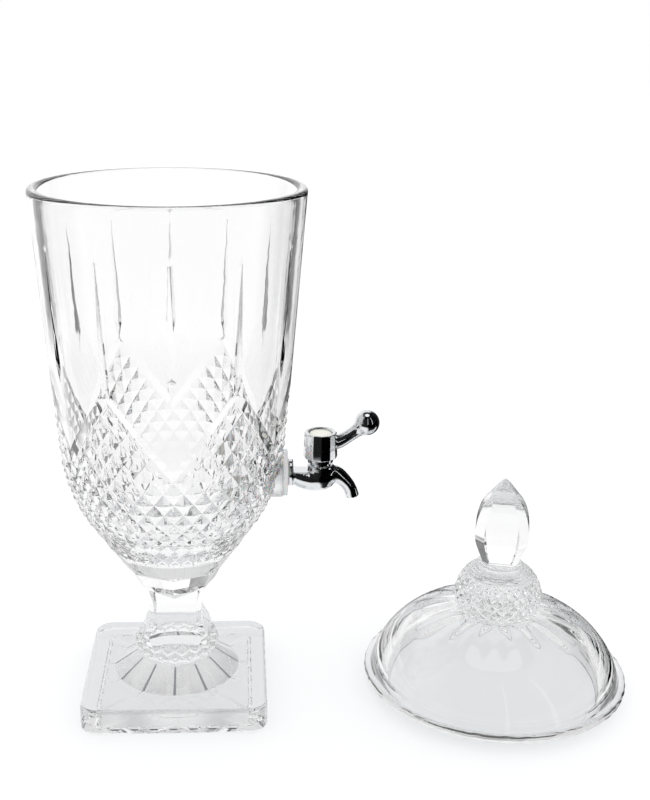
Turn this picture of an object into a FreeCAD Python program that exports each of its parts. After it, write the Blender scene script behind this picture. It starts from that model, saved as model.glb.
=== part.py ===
import FreeCAD
import Part

import math
import os
import re

import Sketcher

# A pedestal jar of pressed glass with a lever tap near the bottom of its bowl and a loose glass lid.
# Millimetres. The origin is the middle of the square foot on the table, +Z is up and +X runs to the tap.

doc = FreeCAD.newDocument("dispenser")

# Driving sizes
SIZES = {
    # jar: bowl
    "jar_height": 372,
    "rim_radius": 92,
    "wall": 7.5,
    "lip_round": 2.4,
    "belly_height": 190,
    "belly_radius": 78.4,
    "shoulder_radius": 105,
    "cone_top_height": 135,
    "cone_top_radius": 58,
    "cone_end_height": 103.5,
    "cone_end_radius": 36.4,
    "floor_height": 117,
    "floor_radius": 30,
    "floor_round": 60,
    "inner_belly_height": 192,
    "inner_shoulder_radius": 96,
    # jar: wheel cuts on the wall
    "cut_count": 12,
    "cut_top_height": 345,
    "cut_widest_height": 262,
    "cut_end_height": 250,
    "cut_depth": 2.6,
    "cut_half_width": 3.3,
    # jar: zigzag border of the cut lattice
    "border_count": 6,
    "border_peak_height": 245.5,
    "border_valley_height": 197,
    "border_depth": 2,
    "border_half_width": 4.6,
    # jar: knop, stem and ring
    "knop_radius": 37.6,
    "knop_waist_height": 88,
    "knop_waist_radius": 28.2,
    "knop_end_height": 80,
    "knop_end_radius": 19,
    "stem_top_height": 87,
    "stem_top_half": 21.2,
    "stem_top_bevel": 3.6,
    "stem_half": 18.3,
    "stem_waist_height": 66,
    "stem_foot_height": 56,
    "stem_foot_half": 20.2,
    "stem_end_height": 43,
    "stem_end_half": 25.6,
    "stem_end_bevel": 10.6,
    "stem_bevel": 3.6,
    "ring_height": 39,
    "ring_radius": 30.9,
    "ring_round": 8.6,
    # jar: square foot
    "foot_side": 131.5,
    "foot_thickness": 18,
    "foot_corner": 13,
    "foot_edge_round": 3,
    "cone_base_radius": 45.5,
    "ray_count": 12,
    "ray_depth": 0.9,
    "ray_half_width": 1,
    "ray_distance": 37,
    "ray_wheel_radius": 60,
    "channel_inset": 11,
    "channel_width": 2.4,
    "channel_depth": 1.4,
    # tap: place and seats in the glass
    "tap_height": 169.5,
    "seat_distance": 76.8,
    "seat_radius": 21,
    "inner_seat_distance": 67,
    "inner_seat_radius": 17,
    "shank_hole_radius": 6.6,
    "shank_radius": 6,
    "shank_end": 50,
    "thread_clearance": 0.05,
    "seal_clearance": 0.3,
    "water_way_radius": 2.6,
    "water_way_height": 168,
    "flange_radius": 9.6,
    "flange_thickness": 4,
    "seal_radius": 16.5,
    "outer_seal_thickness": 3.5,
    "inner_seal_radius": 15,
    "inner_seal_thickness": 3,
    "nut_washer_radius": 13,
    "nut_washer_thickness": 1.5,
    "nut_across_flats": 19,
    "nut_height": 7,
    # tap: valve
    "valve_distance": 103.4,
    "neck_radius": 9,
    "neck_top": 178.2,
    "chamber_radius": 6,
    "neck_bottom": 157.5,
    "chamber_floor": 160,
    "ledge_height": 173.4,
    "counterbore_radius": 7.5,
    "running_clearance": 0.05,
    "plug_gap": 0.15,
    "groove_radius": 4.45,
    "o_ring_wire": 0.7,
    "o_ring_clearance": 0.05,
    "lower_o_ring_height": 162.6,
    "upper_o_ring_height": 172,
    "spindle_radius": 3.9,
    "spindle_square": 5.4,
    "spindle_square_start": 184,
    "spindle_top": 190,
    "stop_radius": 7.25,
    "stop_thickness": 1.5,
    "stop_pin_radius": 0.55,
    "stop_pin_ring": 6.75,
    "stop_pin_depth": 2,
    "turn_limit": 90,
    "stop_margin": 1.5,
    "slip_thickness": 0.8,
    "skirt_radius": 7.45,
    "bonnet_radius": 9.2,
    "bonnet_top": 181,
    # tap: barrel and spout
    "barrel_start_radius": 6.6,
    "barrel_middle_radius": 8.4,
    "barrel_radius": 9.1,
    "barrel_drop": 4.4,
    "spout_radius": 4.75,
    "spout_tip_distance": 126.8,
    "spout_tip_height": 151.4,
    # lever
    "cap_bottom": 181.5,
    "cap_top": 200,
    "cap_bottom_radius": 12.2,
    "cap_top_radius": 11.6,
    "cap_sides": 12,
    "button_radius": 8.1,
    "button_clearance": 0.1,
    "button_thickness": 1.9,
    "button_depth": 3.8,
    "screw_well_radius": 3.6,
    "screw_well_floor": 192,
    "screw_head_radius": 3.1,
    "screw_head_height": 2.2,
    "screw_radius": 1.5,
    "screw_length": 8.5,
    "arm_root_radius": 5.2,
    "arm_radius": 3.9,
    "arm_neck_radius": 4.5,
    "arm_drop": 7.6,
    "ball_distance": 32.5,
    "ball_rise": 14.2,
    "ball_radius": 8,
    # lid
    "lid_distance": 237,
    "lid_turn": 13,
    "lid_ring_radius": 83.2,
    "lid_ring_wall": 3.7,
    "lid_ring_height": 8,
    "brim_radius": 97,
    "brim_thickness": 5,
    "brim_round": 1.8,
    "dome_radius": 92,
    "dome_arc": 68,
    "dome_wall": 5,
    "band_bottom_height": 61,
    "band_bottom_radius": 27,
    "band_height": 74,
    "band_radius": 32.4,
    "band_round": 22,
    "band_top_height": 94.5,
    "band_top_radius": 20,
    "collar_height": 99,
    "collar_radius": 15,
    "flute_count": 18,
    "flute_distance": 49,
    "flute_arc": 116,
    "flute_depth": 1.1,
    "flute_half_width": 4.2,
    "finial_base_half": 12.2,
    "finial_neck_height": 108,
    "finial_neck_half": 15,
    "finial_base_height": 101,
    "finial_half": 19.1,
    "finial_belly_height": 127,
    "finial_shoulder_height": 145,
    "finial_shoulder_half": 13.9,
    "finial_tip_half": 0.8,
    "lid_height": 163.7,
}

sheet = doc.addObject("Spreadsheet::Sheet", "sizes")
for row, (alias, value) in enumerate(SIZES.items(), start=1):
    sheet.set("A%d" % row, alias)
    sheet.set("B%d" % row, str(value))
    sheet.setAlias("B%d" % row, alias)
doc.recompute()

WORD = re.compile(r"\b(" + "|".join(sorted(SIZES, key=len, reverse=True)) + r")\b")


def bound(text):
    """An expression in which every size's name points at its cell in the sheet."""
    return WORD.sub(r"sizes.\1", str(text))


def value(text):
    """The number that such an expression gives now."""
    result = sheet.evalExpression(bound(text))
    return float(getattr(result, "Value", result))


# Helpers for sketches and features

def new_body(label):
    body = doc.addObject("PartDesign::Body", label)
    body.Label = label
    return body


def new_sketch(body, name, role, height="0"):
    """A sketch on the body's own origin plane, moved along that plane's normal by height."""
    sketch = body.newObject("Sketcher::SketchObject", name)
    plane = next(f for f in body.Origin.OriginFeatures if f.Role == role)
    sketch.AttachmentSupport = [(plane, "")]
    sketch.MapMode = "FlatFace"
    if height != "0":
        sketch.setExpression("AttachmentOffset.Base.z", bound(height))
    return sketch


def tilted_sketch(body, name, distance, height, tilt):
    """A sketch square to the tap's plane, at a distance along X and a height, its normal tipped below X by tilt."""
    sketch = new_sketch(body, name, "YZ_Plane")
    sketch.AttachmentOffset = FreeCAD.Placement(FreeCAD.Vector(), FreeCAD.Rotation(FreeCAD.Vector(1, 0, 0), tilt))
    sketch.setExpression("AttachmentOffset.Base.y", bound(height))
    sketch.setExpression("AttachmentOffset.Base.z", bound(distance))
    return sketch


def pin_point(sketch, geometry, end, across, up):
    """Holds one end of an edge at two expressions measured from the sketch's origin."""
    for kind, text, axis in (("DistanceX", across, -2), ("DistanceY", up, -1)):
        number = value(text)
        if text == "0":
            sketch.addConstraint(Sketcher.Constraint("PointOnObject", geometry, end, axis))
            continue
        index = sketch.addConstraint(Sketcher.Constraint(kind, -1, 1, geometry, end, number))
        sketch.setExpression("Constraints[%d]" % index, bound(text))


def outline(sketch, corners):
    """A closed outline. Each corner is (x, y) or (x, y, radius, turn): the edge that leaves it is then an arc,
    turning counterclockwise for turn 1 and clockwise for turn -1."""
    ends = []
    count = len(corners)
    for i, corner in enumerate(corners):
        after = corners[(i + 1) % count]
        start = FreeCAD.Vector(value(corner[0]), value(corner[1]), 0)
        end = FreeCAD.Vector(value(after[0]), value(after[1]), 0)
        if len(corner) == 2:
            index = sketch.addGeometry(Part.LineSegment(start, end), False)
            ends.append((index, 1, 2))
            continue
        radius = value(corner[2])
        chord = end - start
        height = math.sqrt(max(radius * radius - chord.Length * chord.Length / 4, 0))
        normal = FreeCAD.Vector(-chord.y, chord.x, 0).normalize()
        centre = (start + end) * 0.5 + normal * height * corner[3]
        first, last = (start, end) if corner[3] > 0 else (end, start)
        circle = Part.Circle(centre, FreeCAD.Vector(0, 0, 1), radius)
        angle_first = math.atan2(first.y - centre.y, first.x - centre.x)
        angle_last = math.atan2(last.y - centre.y, last.x - centre.x)
        if angle_last < angle_first:
            angle_last += 2 * math.pi
        index = sketch.addGeometry(Part.ArcOfCircle(circle, angle_first, angle_last), False)
        ends.append((index, 1, 2) if corner[3] > 0 else (index, 2, 1))
        held = sketch.addConstraint(Sketcher.Constraint("Radius", index, radius))
        sketch.setExpression("Constraints[%d]" % held, bound(corner[2]))
    for i, corner in enumerate(corners):
        geometry, first, last = ends[i]
        following, following_first, _ = ends[(i + 1) % count]
        sketch.addConstraint(Sketcher.Constraint("Coincident", geometry, last, following, following_first))
        pin_point(sketch, geometry, first, corner[0], corner[1])


def ring(sketch, radius, across="0", up="0"):
    """A circle at two expressions."""
    centre = FreeCAD.Vector(value(across), value(up), 0)
    index = sketch.addGeometry(Part.Circle(centre, FreeCAD.Vector(0, 0, 1), value(radius)), False)
    held = sketch.addConstraint(Sketcher.Constraint("Radius", index, value(radius)))
    sketch.setExpression("Constraints[%d]" % held, bound(radius))
    if across == "0" and up == "0":
        sketch.addConstraint(Sketcher.Constraint("Coincident", index, 3, -1, 1))
    else:
        pin_point(sketch, index, 3, across, up)


def axis_line(sketch, across, up, run):
    """A construction line along the sketch's x or y, for a revolution about it."""
    start = FreeCAD.Vector(value(across), value(up), 0)
    step = FreeCAD.Vector(10, 0, 0) if run == "x" else FreeCAD.Vector(0, 10, 0)
    index = sketch.addGeometry(Part.LineSegment(start, start + step), True)
    pin_point(sketch, index, 1, across, up)
    sketch.addConstraint(Sketcher.Constraint("Horizontal" if run == "x" else "Vertical", index))
    sketch.addConstraint(Sketcher.Constraint("Distance", index, 10))


def square_corners(half, corner):
    """A square with rounded corners, as an outline."""
    return [
        ("%s - %s" % (half, corner), "-(%s)" % half, corner, 1),
        (half, "-(%s - %s)" % (half, corner)),
        (half, "%s - %s" % (half, corner), corner, 1),
        ("%s - %s" % (half, corner), half),
        ("-(%s - %s)" % (half, corner), half, corner, 1),
        ("-(%s)" % half, "%s - %s" % (half, corner)),
        ("-(%s)" % half, "-(%s - %s)" % (half, corner), corner, 1),
        ("-(%s - %s)" % (half, corner), "-(%s)" % half),
    ]


def bevelled_square(half, bevel):
    """A square with its corners cut off, as an outline."""
    near = "(%s - %s)" % (half, bevel)
    return [
        (near, "-%s" % half), (half, "-%s" % near), (half, near), (near, half),
        ("-%s" % near, half), ("-%s" % half, near), ("-%s" % half, "-%s" % near), ("-%s" % near, "-%s" % half),
    ]


def regular(radius, sides, first=0):
    """A regular polygon with one corner at the angle first."""
    angles = [first + 360 * i / sides for i in range(sides)]
    return [("(%s) * cos(%r)" % (radius, a), "(%s) * sin(%r)" % (radius, a)) for a in angles]


def pad(body, name, sketch, length, backwards=False):
    feature = body.newObject("PartDesign::Pad", name)
    feature.Profile = sketch
    feature.setExpression("Length", bound(length))
    feature.Reversed = backwards
    return feature


def pocket(body, name, sketch, length, backwards=False):
    feature = body.newObject("PartDesign::Pocket", name)
    feature.Profile = sketch
    feature.setExpression("Length", bound(length))
    feature.Reversed = backwards
    return feature


def turned(body, name, sketch, kind="Revolution", axis="V_Axis", angle=360):
    """A revolution or groove of a sketch about one of its axes."""
    feature = body.newObject("PartDesign::" + kind, name)
    feature.Profile = sketch
    feature.ReferenceAxis = (sketch, [axis])
    feature.Angle = angle
    feature.Midplane = angle != 360
    return feature


def loft(body, name, sketches, ruled=False, kind="Additive"):
    feature = body.newObject("PartDesign::%sLoft" % kind, name)
    feature.Profile = sketches[0]
    feature.Sections = sketches[1:]
    feature.Ruled = ruled
    return feature


def around(body, name, feature, count):
    """The feature repeated around the body's Z axis."""
    pattern = body.newObject("PartDesign::PolarPattern", name)
    pattern.Originals = [feature]
    pattern.Axis = (next(f for f in body.Origin.OriginFeatures if f.Role == "Z_Axis"), [""])
    pattern.Angle = 360
    pattern.setExpression("Occurrences", bound(count))
    body.Tip = pattern
    return pattern


def edges_where(feature, test):
    """The names of a feature's edges whose middle point passes a test."""
    doc.recompute()
    names = []
    for i, edge in enumerate(feature.Shape.Edges, start=1):
        middle = edge.valueAt((edge.FirstParameter + edge.LastParameter) / 2)
        if test(edge, middle):
            names.append("Edge%d" % i)
    return names


parts = {}

# Jar: bowl, knop, stem and square foot pressed as one piece of glass
WALL_SLOPE = "(rim_radius - belly_radius) / (jar_height - belly_height)"
INNER_RIM = "(rim_radius - wall)"
INNER_BELLY = "(belly_radius - wall)"

jar = new_body("jar")
blank = new_sketch(jar, "bowl_outside", "XZ_Plane")
outline(blank, [
    ("0", "cone_end_height - 6"),
    ("cone_end_radius - 12", "cone_end_height - 6"),
    ("cone_end_radius", "cone_end_height"),
    ("cone_top_radius", "cone_top_height", "shoulder_radius", 1),
    ("belly_radius", "belly_height"),
    ("rim_radius", "jar_height - lip_round", "lip_round", 1),
    ("rim_radius - lip_round", "jar_height"),
    ("0", "jar_height"),
])
turned(jar, "bowl", blank)

seat = new_sketch(jar, "tap_seat", "YZ_Plane", "seat_distance")
ring(seat, "seat_radius", "0", "tap_height")
pad(jar, "tap_boss", seat, "seat_distance - inner_seat_distance + 12", backwards=True)
spot_face = new_sketch(jar, "spot_face_outline", "YZ_Plane", "seat_distance")
ring(spot_face, "seal_radius + seal_clearance", "0", "tap_height")
pocket(jar, "spot_face", spot_face, "10", backwards=True)

knop_sections = []
for name, height, radius in (
    ("knop_top", "cone_end_height", "knop_radius"),
    ("knop_waist", "knop_waist_height", "knop_waist_radius"),
    ("knop_end", "knop_end_height", "knop_end_radius"),
):
    section = new_sketch(jar, name, "XY_Plane", height)
    outline(section, regular(radius, 8))
    knop_sections.append(section)
loft(jar, "knop", knop_sections, ruled=True)

stem_sections = []
for name, height, half, bevel in (
    ("stem_top", "stem_top_height", "stem_top_half", "stem_top_bevel"),
    ("stem_waist", "stem_waist_height", "stem_half", "stem_bevel"),
    ("stem_foot", "stem_foot_height", "stem_foot_half", "stem_bevel"),
    ("stem_end", "stem_end_height", "stem_end_half", "stem_end_bevel"),
):
    section = new_sketch(jar, name, "XY_Plane", height)
    outline(section, bevelled_square(half, bevel))
    stem_sections.append(section)
loft(jar, "stem", stem_sections)

collar = new_sketch(jar, "bead_ring_outline", "XZ_Plane")
RING_INSIDE = "(ring_radius - ring_round)"
outline(collar, [
    ("0", "foot_thickness - 1"),
    ("cone_base_radius", "foot_thickness - 1"),
    ("cone_base_radius", "foot_thickness"),
    (RING_INSIDE + " + ring_round * cos(60)", "ring_height - ring_round * sin(60)", "ring_round", 1),
    (RING_INSIDE, "ring_height + ring_round"),
    ("0", "ring_height + ring_round"),
])
turned(jar, "bead_ring", collar)

plate = new_sketch(jar, "foot_outline", "XY_Plane")
outline(plate, square_corners("foot_side / 2", "foot_corner"))
foot = pad(jar, "foot", plate, "foot_thickness")
foot_top = edges_where(foot, lambda edge, middle: abs(middle.z - SIZES["foot_thickness"]) < 0.01
                       and max(abs(middle.x), abs(middle.y)) > SIZES["foot_side"] / 2 - SIZES["foot_corner"])
rounding = jar.newObject("PartDesign::Fillet", "foot_edge")
rounding.Base = (foot, foot_top)
rounding.setExpression("Radius", bound("foot_edge_round"))

hollow = new_sketch(jar, "bowl_inside", "XZ_Plane")
outline(hollow, [
    ("0", "floor_height"),
    ("floor_radius * 0.55", "floor_height", "floor_round", 1),
    ("floor_radius + 11", "floor_height + 12"),
    (INNER_BELLY + " - 19", "cone_top_height + 4", "inner_shoulder_radius", 1),
    (INNER_BELLY, "inner_belly_height"),
    (INNER_RIM, "jar_height - lip_round", "lip_round", -1),
    (INNER_RIM + " + lip_round", "jar_height"),
    (INNER_RIM + " + lip_round", "jar_height + 1"),
    ("0", "jar_height + 1"),
])
turned(jar, "hollow", hollow, "Groove")

inside_seat = new_sketch(jar, "inner_tap_seat", "YZ_Plane", "inner_seat_distance")
ring(inside_seat, "inner_seat_radius", "0", "tap_height")
pocket(jar, "inner_seat", inside_seat, "12")

shank_hole = new_sketch(jar, "shank_hole_outline", "YZ_Plane", "seat_distance")
ring(shank_hole, "shank_hole_radius", "0", "tap_height")
pocket(jar, "shank_hole", shank_hole, "30")


def wall_groove(name, stations):
    """A V groove down the sloping wall: each station is (height, how deep its point lies, angle round the jar). The
    groove runs out where that depth is below zero, and keeps the same V all along."""
    sections = []
    for i, (height, depth, turn, flare) in enumerate(stations):
        face = "(belly_radius + (%s - belly_height) * %s)" % (height, WALL_SLOPE)
        section = new_sketch(jar, "%s_section_%d" % (name, i), "XY_Plane", height)
        outline(section, [
            ("%s * cos(%s) - (%s) * sin(%s)" % (reach, turn, side, turn), "%s * sin(%s) + (%s) * cos(%s)" % (reach, turn, side, turn))
            for reach, side in (
                ("(%s - %s)" % (face, depth), "0"),
                ("(%s + 2)" % face, "(%s + 2) * %s" % (depth, flare)),
                ("(%s + 2)" % face, "-(%s + 2) * %s" % (depth, flare)),
            )
        ])
        sections.append(section)
    return loft(jar, name, sections, ruled=True, kind="Subtractive")


# The long cuts widen downwards from a point and close just above the lattice.
CUT_FLARE = "(cut_half_width / cut_depth)"
cut = wall_groove("long_cut", [
    ("(cut_top_height + 9)", "(-9 * cut_depth / (cut_top_height - cut_widest_height))", "0", CUT_FLARE),
    ("cut_widest_height", "cut_depth", "0", CUT_FLARE),
    ("(cut_end_height - 2)", "(-2 * cut_depth / (cut_widest_height - cut_end_height))", "0", CUT_FLARE),
])
around(jar, "long_cuts", cut, "cut_count")

# The lattice lies under a zigzag border: two families of slanted grooves that meet at its peaks and valleys.
BORDER_FLARE = "(border_half_width / border_depth)"
BORDER_STEP = "(180 / border_count)"
for side, sign in (("left", "1"), ("right", "-1")):
    stations = [("(border_peak_height + 3)", "-0.2", "(-2 * %s)" % sign, BORDER_FLARE)]
    for share in (0, 0.2, 0.4, 0.6, 0.8, 1):
        stations.append((
            "(border_peak_height - %r * (border_peak_height - border_valley_height))" % share,
            "border_depth", "(%r * %s * %s)" % (share, BORDER_STEP, sign), BORDER_FLARE,
        ))
    stations.append(("(border_valley_height - 3)", "-0.2", "((%s + 2) * %s)" % (BORDER_STEP, sign), BORDER_FLARE))
    limb = wall_groove("border_" + side, stations)
    around(jar, "border_%s_limbs" % side, limb, "border_count")

# The foot's rays are cut by a small V-edged wheel that touches the cone between the bead ring and the plate.
RING_FOOT_RADIUS = "(%s + ring_round * cos(60))" % RING_INSIDE
RING_FOOT_HEIGHT = "(ring_height - ring_round * sin(60))"
CONE_FALL = "((%s - foot_thickness) / (cone_base_radius - %s))" % (RING_FOOT_HEIGHT, RING_FOOT_RADIUS)
ray_wheel = tilted_sketch(jar, "ray_edge", "ray_distance", "foot_thickness + (cone_base_radius - ray_distance) * " + CONE_FALL,
                          math.degrees(math.atan(value(CONE_FALL))))
outline(ray_wheel, [
    ("0", "-ray_depth"),
    ("3 * ray_half_width", "2 * ray_depth"),
    ("-3 * ray_half_width", "2 * ray_depth"),
])
axis_line(ray_wheel, "0", "ray_wheel_radius - ray_depth", "x")
ray = turned(jar, "ray", ray_wheel, "Groove", "Axis0", 24)
around(jar, "rays", ray, "ray_count")

channel = new_sketch(jar, "channel_outline", "XY_Plane")
outline(channel, square_corners("(foot_side / 2 - channel_inset)", "(foot_corner * 0.6)"))
outline(channel, square_corners("(foot_side / 2 - channel_inset - channel_width)", "(foot_corner * 0.4)"))
pocket(jar, "underside_channel", channel, "channel_depth", backwards=True)
parts["jar"] = jar

# Lid: pressed glass with a locating ring, brim, fluted dome, band and cut finial, modelled where it stands
lid = new_body("lid")
lid.Placement = FreeCAD.Placement(FreeCAD.Vector(), FreeCAD.Rotation(FreeCAD.Vector(0, 0, -1), value("lid_turn")))
lid.setExpression("Placement.Base.x", bound("lid_distance"))
RING_INNER = "(lid_ring_radius - lid_ring_wall)"
BRIM_TOP = "(lid_ring_height + brim_thickness)"
shell = new_sketch(lid, "lid_outline", "XZ_Plane")
outline(shell, [
    (RING_INNER, "0"),
    ("lid_ring_radius", "0"),
    ("lid_ring_radius", "lid_ring_height"),
    ("brim_radius - brim_round", "lid_ring_height", "brim_round", 1),
    ("brim_radius", "lid_ring_height + brim_round"),
    ("brim_radius", BRIM_TOP + " - brim_round", "brim_round", 1),
    ("brim_radius - brim_round", BRIM_TOP),
    ("dome_radius", BRIM_TOP, "dome_arc", 1),
    ("band_bottom_radius", "band_bottom_height", "band_round", 1),
    ("band_radius", "band_height", "band_round", 1),
    ("band_top_radius", "band_top_height"),
    ("collar_radius + 2", "collar_height - 2"),
    ("collar_radius", "collar_height - 2"),
    ("collar_radius", "collar_height"),
    ("0", "collar_height"),
    ("0", "band_bottom_height - dome_wall + 2"),
    ("band_bottom_radius - 6", "band_bottom_height - dome_wall", "dome_arc - dome_wall - 5", -1),
    (RING_INNER, BRIM_TOP + " - 2"),
])
turned(lid, "shell", shell)

# The flutes are shallow troughs whose floor has a wider arc than the dome's, so that they run out at both ends.
DOME_RUN = "(dome_radius - band_bottom_radius)"
DOME_LIFT = "(band_bottom_height - %s)" % BRIM_TOP
DOME_CHORD = "sqrt(%s^2 + %s^2)" % (DOME_RUN, DOME_LIFT)
DOME_DEPTH = "sqrt(dome_arc^2 - %s^2 / 4)" % DOME_CHORD
DOME_X = "((dome_radius + band_bottom_radius) / 2 - %s / %s * %s)" % (DOME_LIFT, DOME_CHORD, DOME_DEPTH)
DOME_Z = "((band_bottom_height + %s) / 2 - %s / %s * %s)" % (BRIM_TOP, DOME_RUN, DOME_CHORD, DOME_DEPTH)
FLUTE_Z = "(%s + sqrt(dome_arc^2 - (flute_distance - %s)^2))" % (DOME_Z, DOME_X)
flute_tilt = math.degrees(math.asin((value("flute_distance") - value(DOME_X)) / value("dome_arc")))
trough = tilted_sketch(lid, "flute_outline", "flute_distance", FLUTE_Z, flute_tilt)
TROUGH = "((flute_half_width^2 + flute_depth^2) / (2 * flute_depth))"
outline(trough, [
    ("-flute_half_width", "0", TROUGH, 1),
    ("flute_half_width", "0"),
    ("flute_half_width * 1.5", "flute_depth"),
    ("-flute_half_width * 1.5", "flute_depth"),
])
axis_line(trough, "0", "-(flute_arc + flute_depth)", "x")
flute = turned(lid, "flute", trough, "Groove", "Axis0", 24)
around(lid, "flutes", flute, "flute_count")

finial_sections = []
for name, height, half in (
    ("finial_base", "collar_height - 1", "finial_base_half"),
    ("finial_foot", "finial_base_height", "finial_base_half"),
    ("finial_neck", "finial_neck_height", "finial_neck_half"),
    ("finial_belly", "finial_belly_height", "finial_half"),
    ("finial_shoulder", "finial_shoulder_height", "finial_shoulder_half"),
    ("finial_tip", "lid_height", "finial_tip_half"),
):
    section = new_sketch(lid, name, "XY_Plane", height)
    outline(section, bevelled_square(half, half + " * 0.36"))
    finial_sections.append(section)
loft(lid, "finial", finial_sections)
parts["lid"] = lid

# Tap: the face of the outer seal, the flange and the barrel follow one another along +X
FLANGE_FACE = "(seat_distance + outer_seal_thickness)"
BARREL_START = "(%s + flange_thickness)" % FLANGE_FACE

tap = new_body("tap_body")
flange = new_sketch(tap, "flange_outline", "YZ_Plane", FLANGE_FACE)
ring(flange, "flange_radius", "0", "tap_height")
pad(tap, "flange", flange, "flange_thickness")
shank = new_sketch(tap, "shank_outline", "YZ_Plane", "shank_end")
ring(shank, "shank_radius", "0", "tap_height")
pad(tap, "shank", shank, FLANGE_FACE + " - shank_end + 1")
barrel_sections = []
for name, distance, radius, height in (
    ("barrel_start", BARREL_START + " - 1", "barrel_start_radius", "tap_height"),
    ("barrel_middle", BARREL_START + " + 7", "barrel_middle_radius", "tap_height - barrel_drop * 0.7"),
    ("barrel_full", BARREL_START + " + 14", "barrel_radius", "tap_height - barrel_drop"),
    ("barrel_end", "valve_distance + 1", "barrel_radius - 0.3", "tap_height - barrel_drop + 0.2"),
):
    section = new_sketch(tap, name, "YZ_Plane", distance)
    ring(section, radius, "0", height)
    barrel_sections.append(section)
loft(tap, "barrel", barrel_sections)
neck = new_sketch(tap, "neck_outline", "XY_Plane", "neck_bottom")
ring(neck, "neck_radius", "valve_distance", "0")
pad(tap, "neck", neck, "neck_top - neck_bottom")

# The spout's sections, from the valve to the tip: distance, height, radius, and how far the way has turned down
SPOUT = (
    ("valve_distance - 1", "tap_height - barrel_drop + 1.2", "barrel_radius - 0.7", 0),
    ("spout_tip_distance - 11.2", "water_way_height - 0.6", "spout_radius * 1.25", 18),
    ("spout_tip_distance - 5", "(water_way_height * 0.64 + spout_tip_height * 0.36)", "spout_radius * 1.04", 52),
    ("spout_tip_distance - 1.7", "(water_way_height * 0.33 + spout_tip_height * 0.67)", "spout_radius", 68),
    ("spout_tip_distance", "spout_tip_height", "spout_radius * 1.04", 80),
)
spout_sections = []
for i, (distance, height, radius, tilt) in enumerate(SPOUT):
    section = tilted_sketch(tap, "spout_section_%d" % i, distance, height, tilt)
    ring(section, radius)
    spout_sections.append(section)
loft(tap, "spout", spout_sections)

way = new_sketch(tap, "water_way_outline", "YZ_Plane", "shank_end")
ring(way, "water_way_radius", "0", "water_way_height")
pocket(tap, "water_way", way, "valve_distance - shank_end", backwards=True)
way_sections = []
for i, (distance, height, radius, tilt) in enumerate(SPOUT):
    section = tilted_sketch(tap, "spout_way_section_%d" % i, distance, height if i else "water_way_height", tilt)
    ring(section, "water_way_radius")
    way_sections.append(section)
loft(tap, "spout_way", way_sections, kind="Subtractive")
chamber = new_sketch(tap, "chamber_outline", "XY_Plane", "neck_top")
ring(chamber, "chamber_radius", "valve_distance", "0")
pocket(tap, "chamber", chamber, "neck_top - chamber_floor")
mouth = new_sketch(tap, "counterbore_outline", "XY_Plane", "neck_top")
ring(mouth, "counterbore_radius", "valve_distance", "0")
pocket(tap, "counterbore", mouth, "neck_top - ledge_height")
pin_hole = new_sketch(tap, "pin_hole_outline", "XY_Plane", "ledge_height")
ring(pin_hole, "stop_pin_radius + thread_clearance", "valve_distance - stop_pin_ring", "0")
pocket(tap, "pin_hole", pin_hole, "stop_pin_depth")
parts["tap_body"] = tap

# Seals, washer and nut that clamp the tap to the glass


def clamp_ring(label, start, thickness, radius, bore, sides=0):
    """A ring, or a nut with flat sides, on the shank."""
    body = new_body(label)
    body.setExpression("Placement.Base.z", bound("tap_height"))
    sketch = new_sketch(body, label + "_outline", "YZ_Plane", start)
    if sides:
        outline(sketch, regular(radius, sides))
    else:
        ring(sketch, radius)
    ring(sketch, bore)
    pad(body, label + "_ring", sketch, thickness)
    parts[label] = body
    return body


NUT_START = "(inner_seat_distance - inner_seal_thickness - nut_washer_thickness - nut_height)"
clamp_ring("outer_seal", "seat_distance", "outer_seal_thickness", "seal_radius", "shank_radius + seal_clearance")
clamp_ring("inner_seal", "inner_seat_distance - inner_seal_thickness", "inner_seal_thickness",
           "inner_seal_radius", "shank_radius + seal_clearance")
clamp_ring("shank_washer", NUT_START + " + nut_height", "nut_washer_thickness",
           "nut_washer_radius", "shank_radius + thread_clearance")
clamp_ring("lock_nut", NUT_START, "nut_height", "nut_across_flats / 2 / cos(30)",
           "shank_radius + thread_clearance", 6)

# Valve: everything from here on is drawn about the valve's own upright axis


def valve_body(label):
    body = new_body(label)
    body.setExpression("Placement.Base.x", bound("valve_distance"))
    parts[label] = body
    return body


PLUG_RADIUS = "(chamber_radius - running_clearance)"
GROOVE_HALF = "(o_ring_wire + o_ring_clearance)"
STOP_BOTTOM = "(ledge_height + running_clearance)"
STOP_TOP = "(%s + stop_thickness)" % STOP_BOTTOM
SLIP_BOTTOM = "(%s + running_clearance)" % STOP_TOP
SLIP_TOP = "(%s + slip_thickness)" % SLIP_BOTTOM

plug = valve_body("valve_plug")
profile = new_sketch(plug, "plug_profile", "XZ_Plane")
outline(profile, [
    ("0", "chamber_floor + plug_gap"),
    (PLUG_RADIUS, "chamber_floor + plug_gap"),
    (PLUG_RADIUS, "lower_o_ring_height - " + GROOVE_HALF),
    ("groove_radius", "lower_o_ring_height - " + GROOVE_HALF),
    ("groove_radius", "lower_o_ring_height + " + GROOVE_HALF),
    (PLUG_RADIUS, "lower_o_ring_height + " + GROOVE_HALF),
    (PLUG_RADIUS, "upper_o_ring_height - " + GROOVE_HALF),
    ("groove_radius", "upper_o_ring_height - " + GROOVE_HALF),
    ("groove_radius", "upper_o_ring_height + " + GROOVE_HALF),
    (PLUG_RADIUS, "upper_o_ring_height + " + GROOVE_HALF),
    (PLUG_RADIUS, STOP_TOP),
    ("spindle_radius", STOP_TOP),
    ("spindle_radius", "spindle_top"),
    ("0", "spindle_top"),
])
turned(plug, "plug", profile)
finger = new_sketch(plug, "stop_finger_outline", "XY_Plane", STOP_BOTTOM)
FINGER_HALF = "(180 - turn_limit - stop_margin - asin(stop_pin_radius / stop_pin_ring) / 1 deg)"
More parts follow.
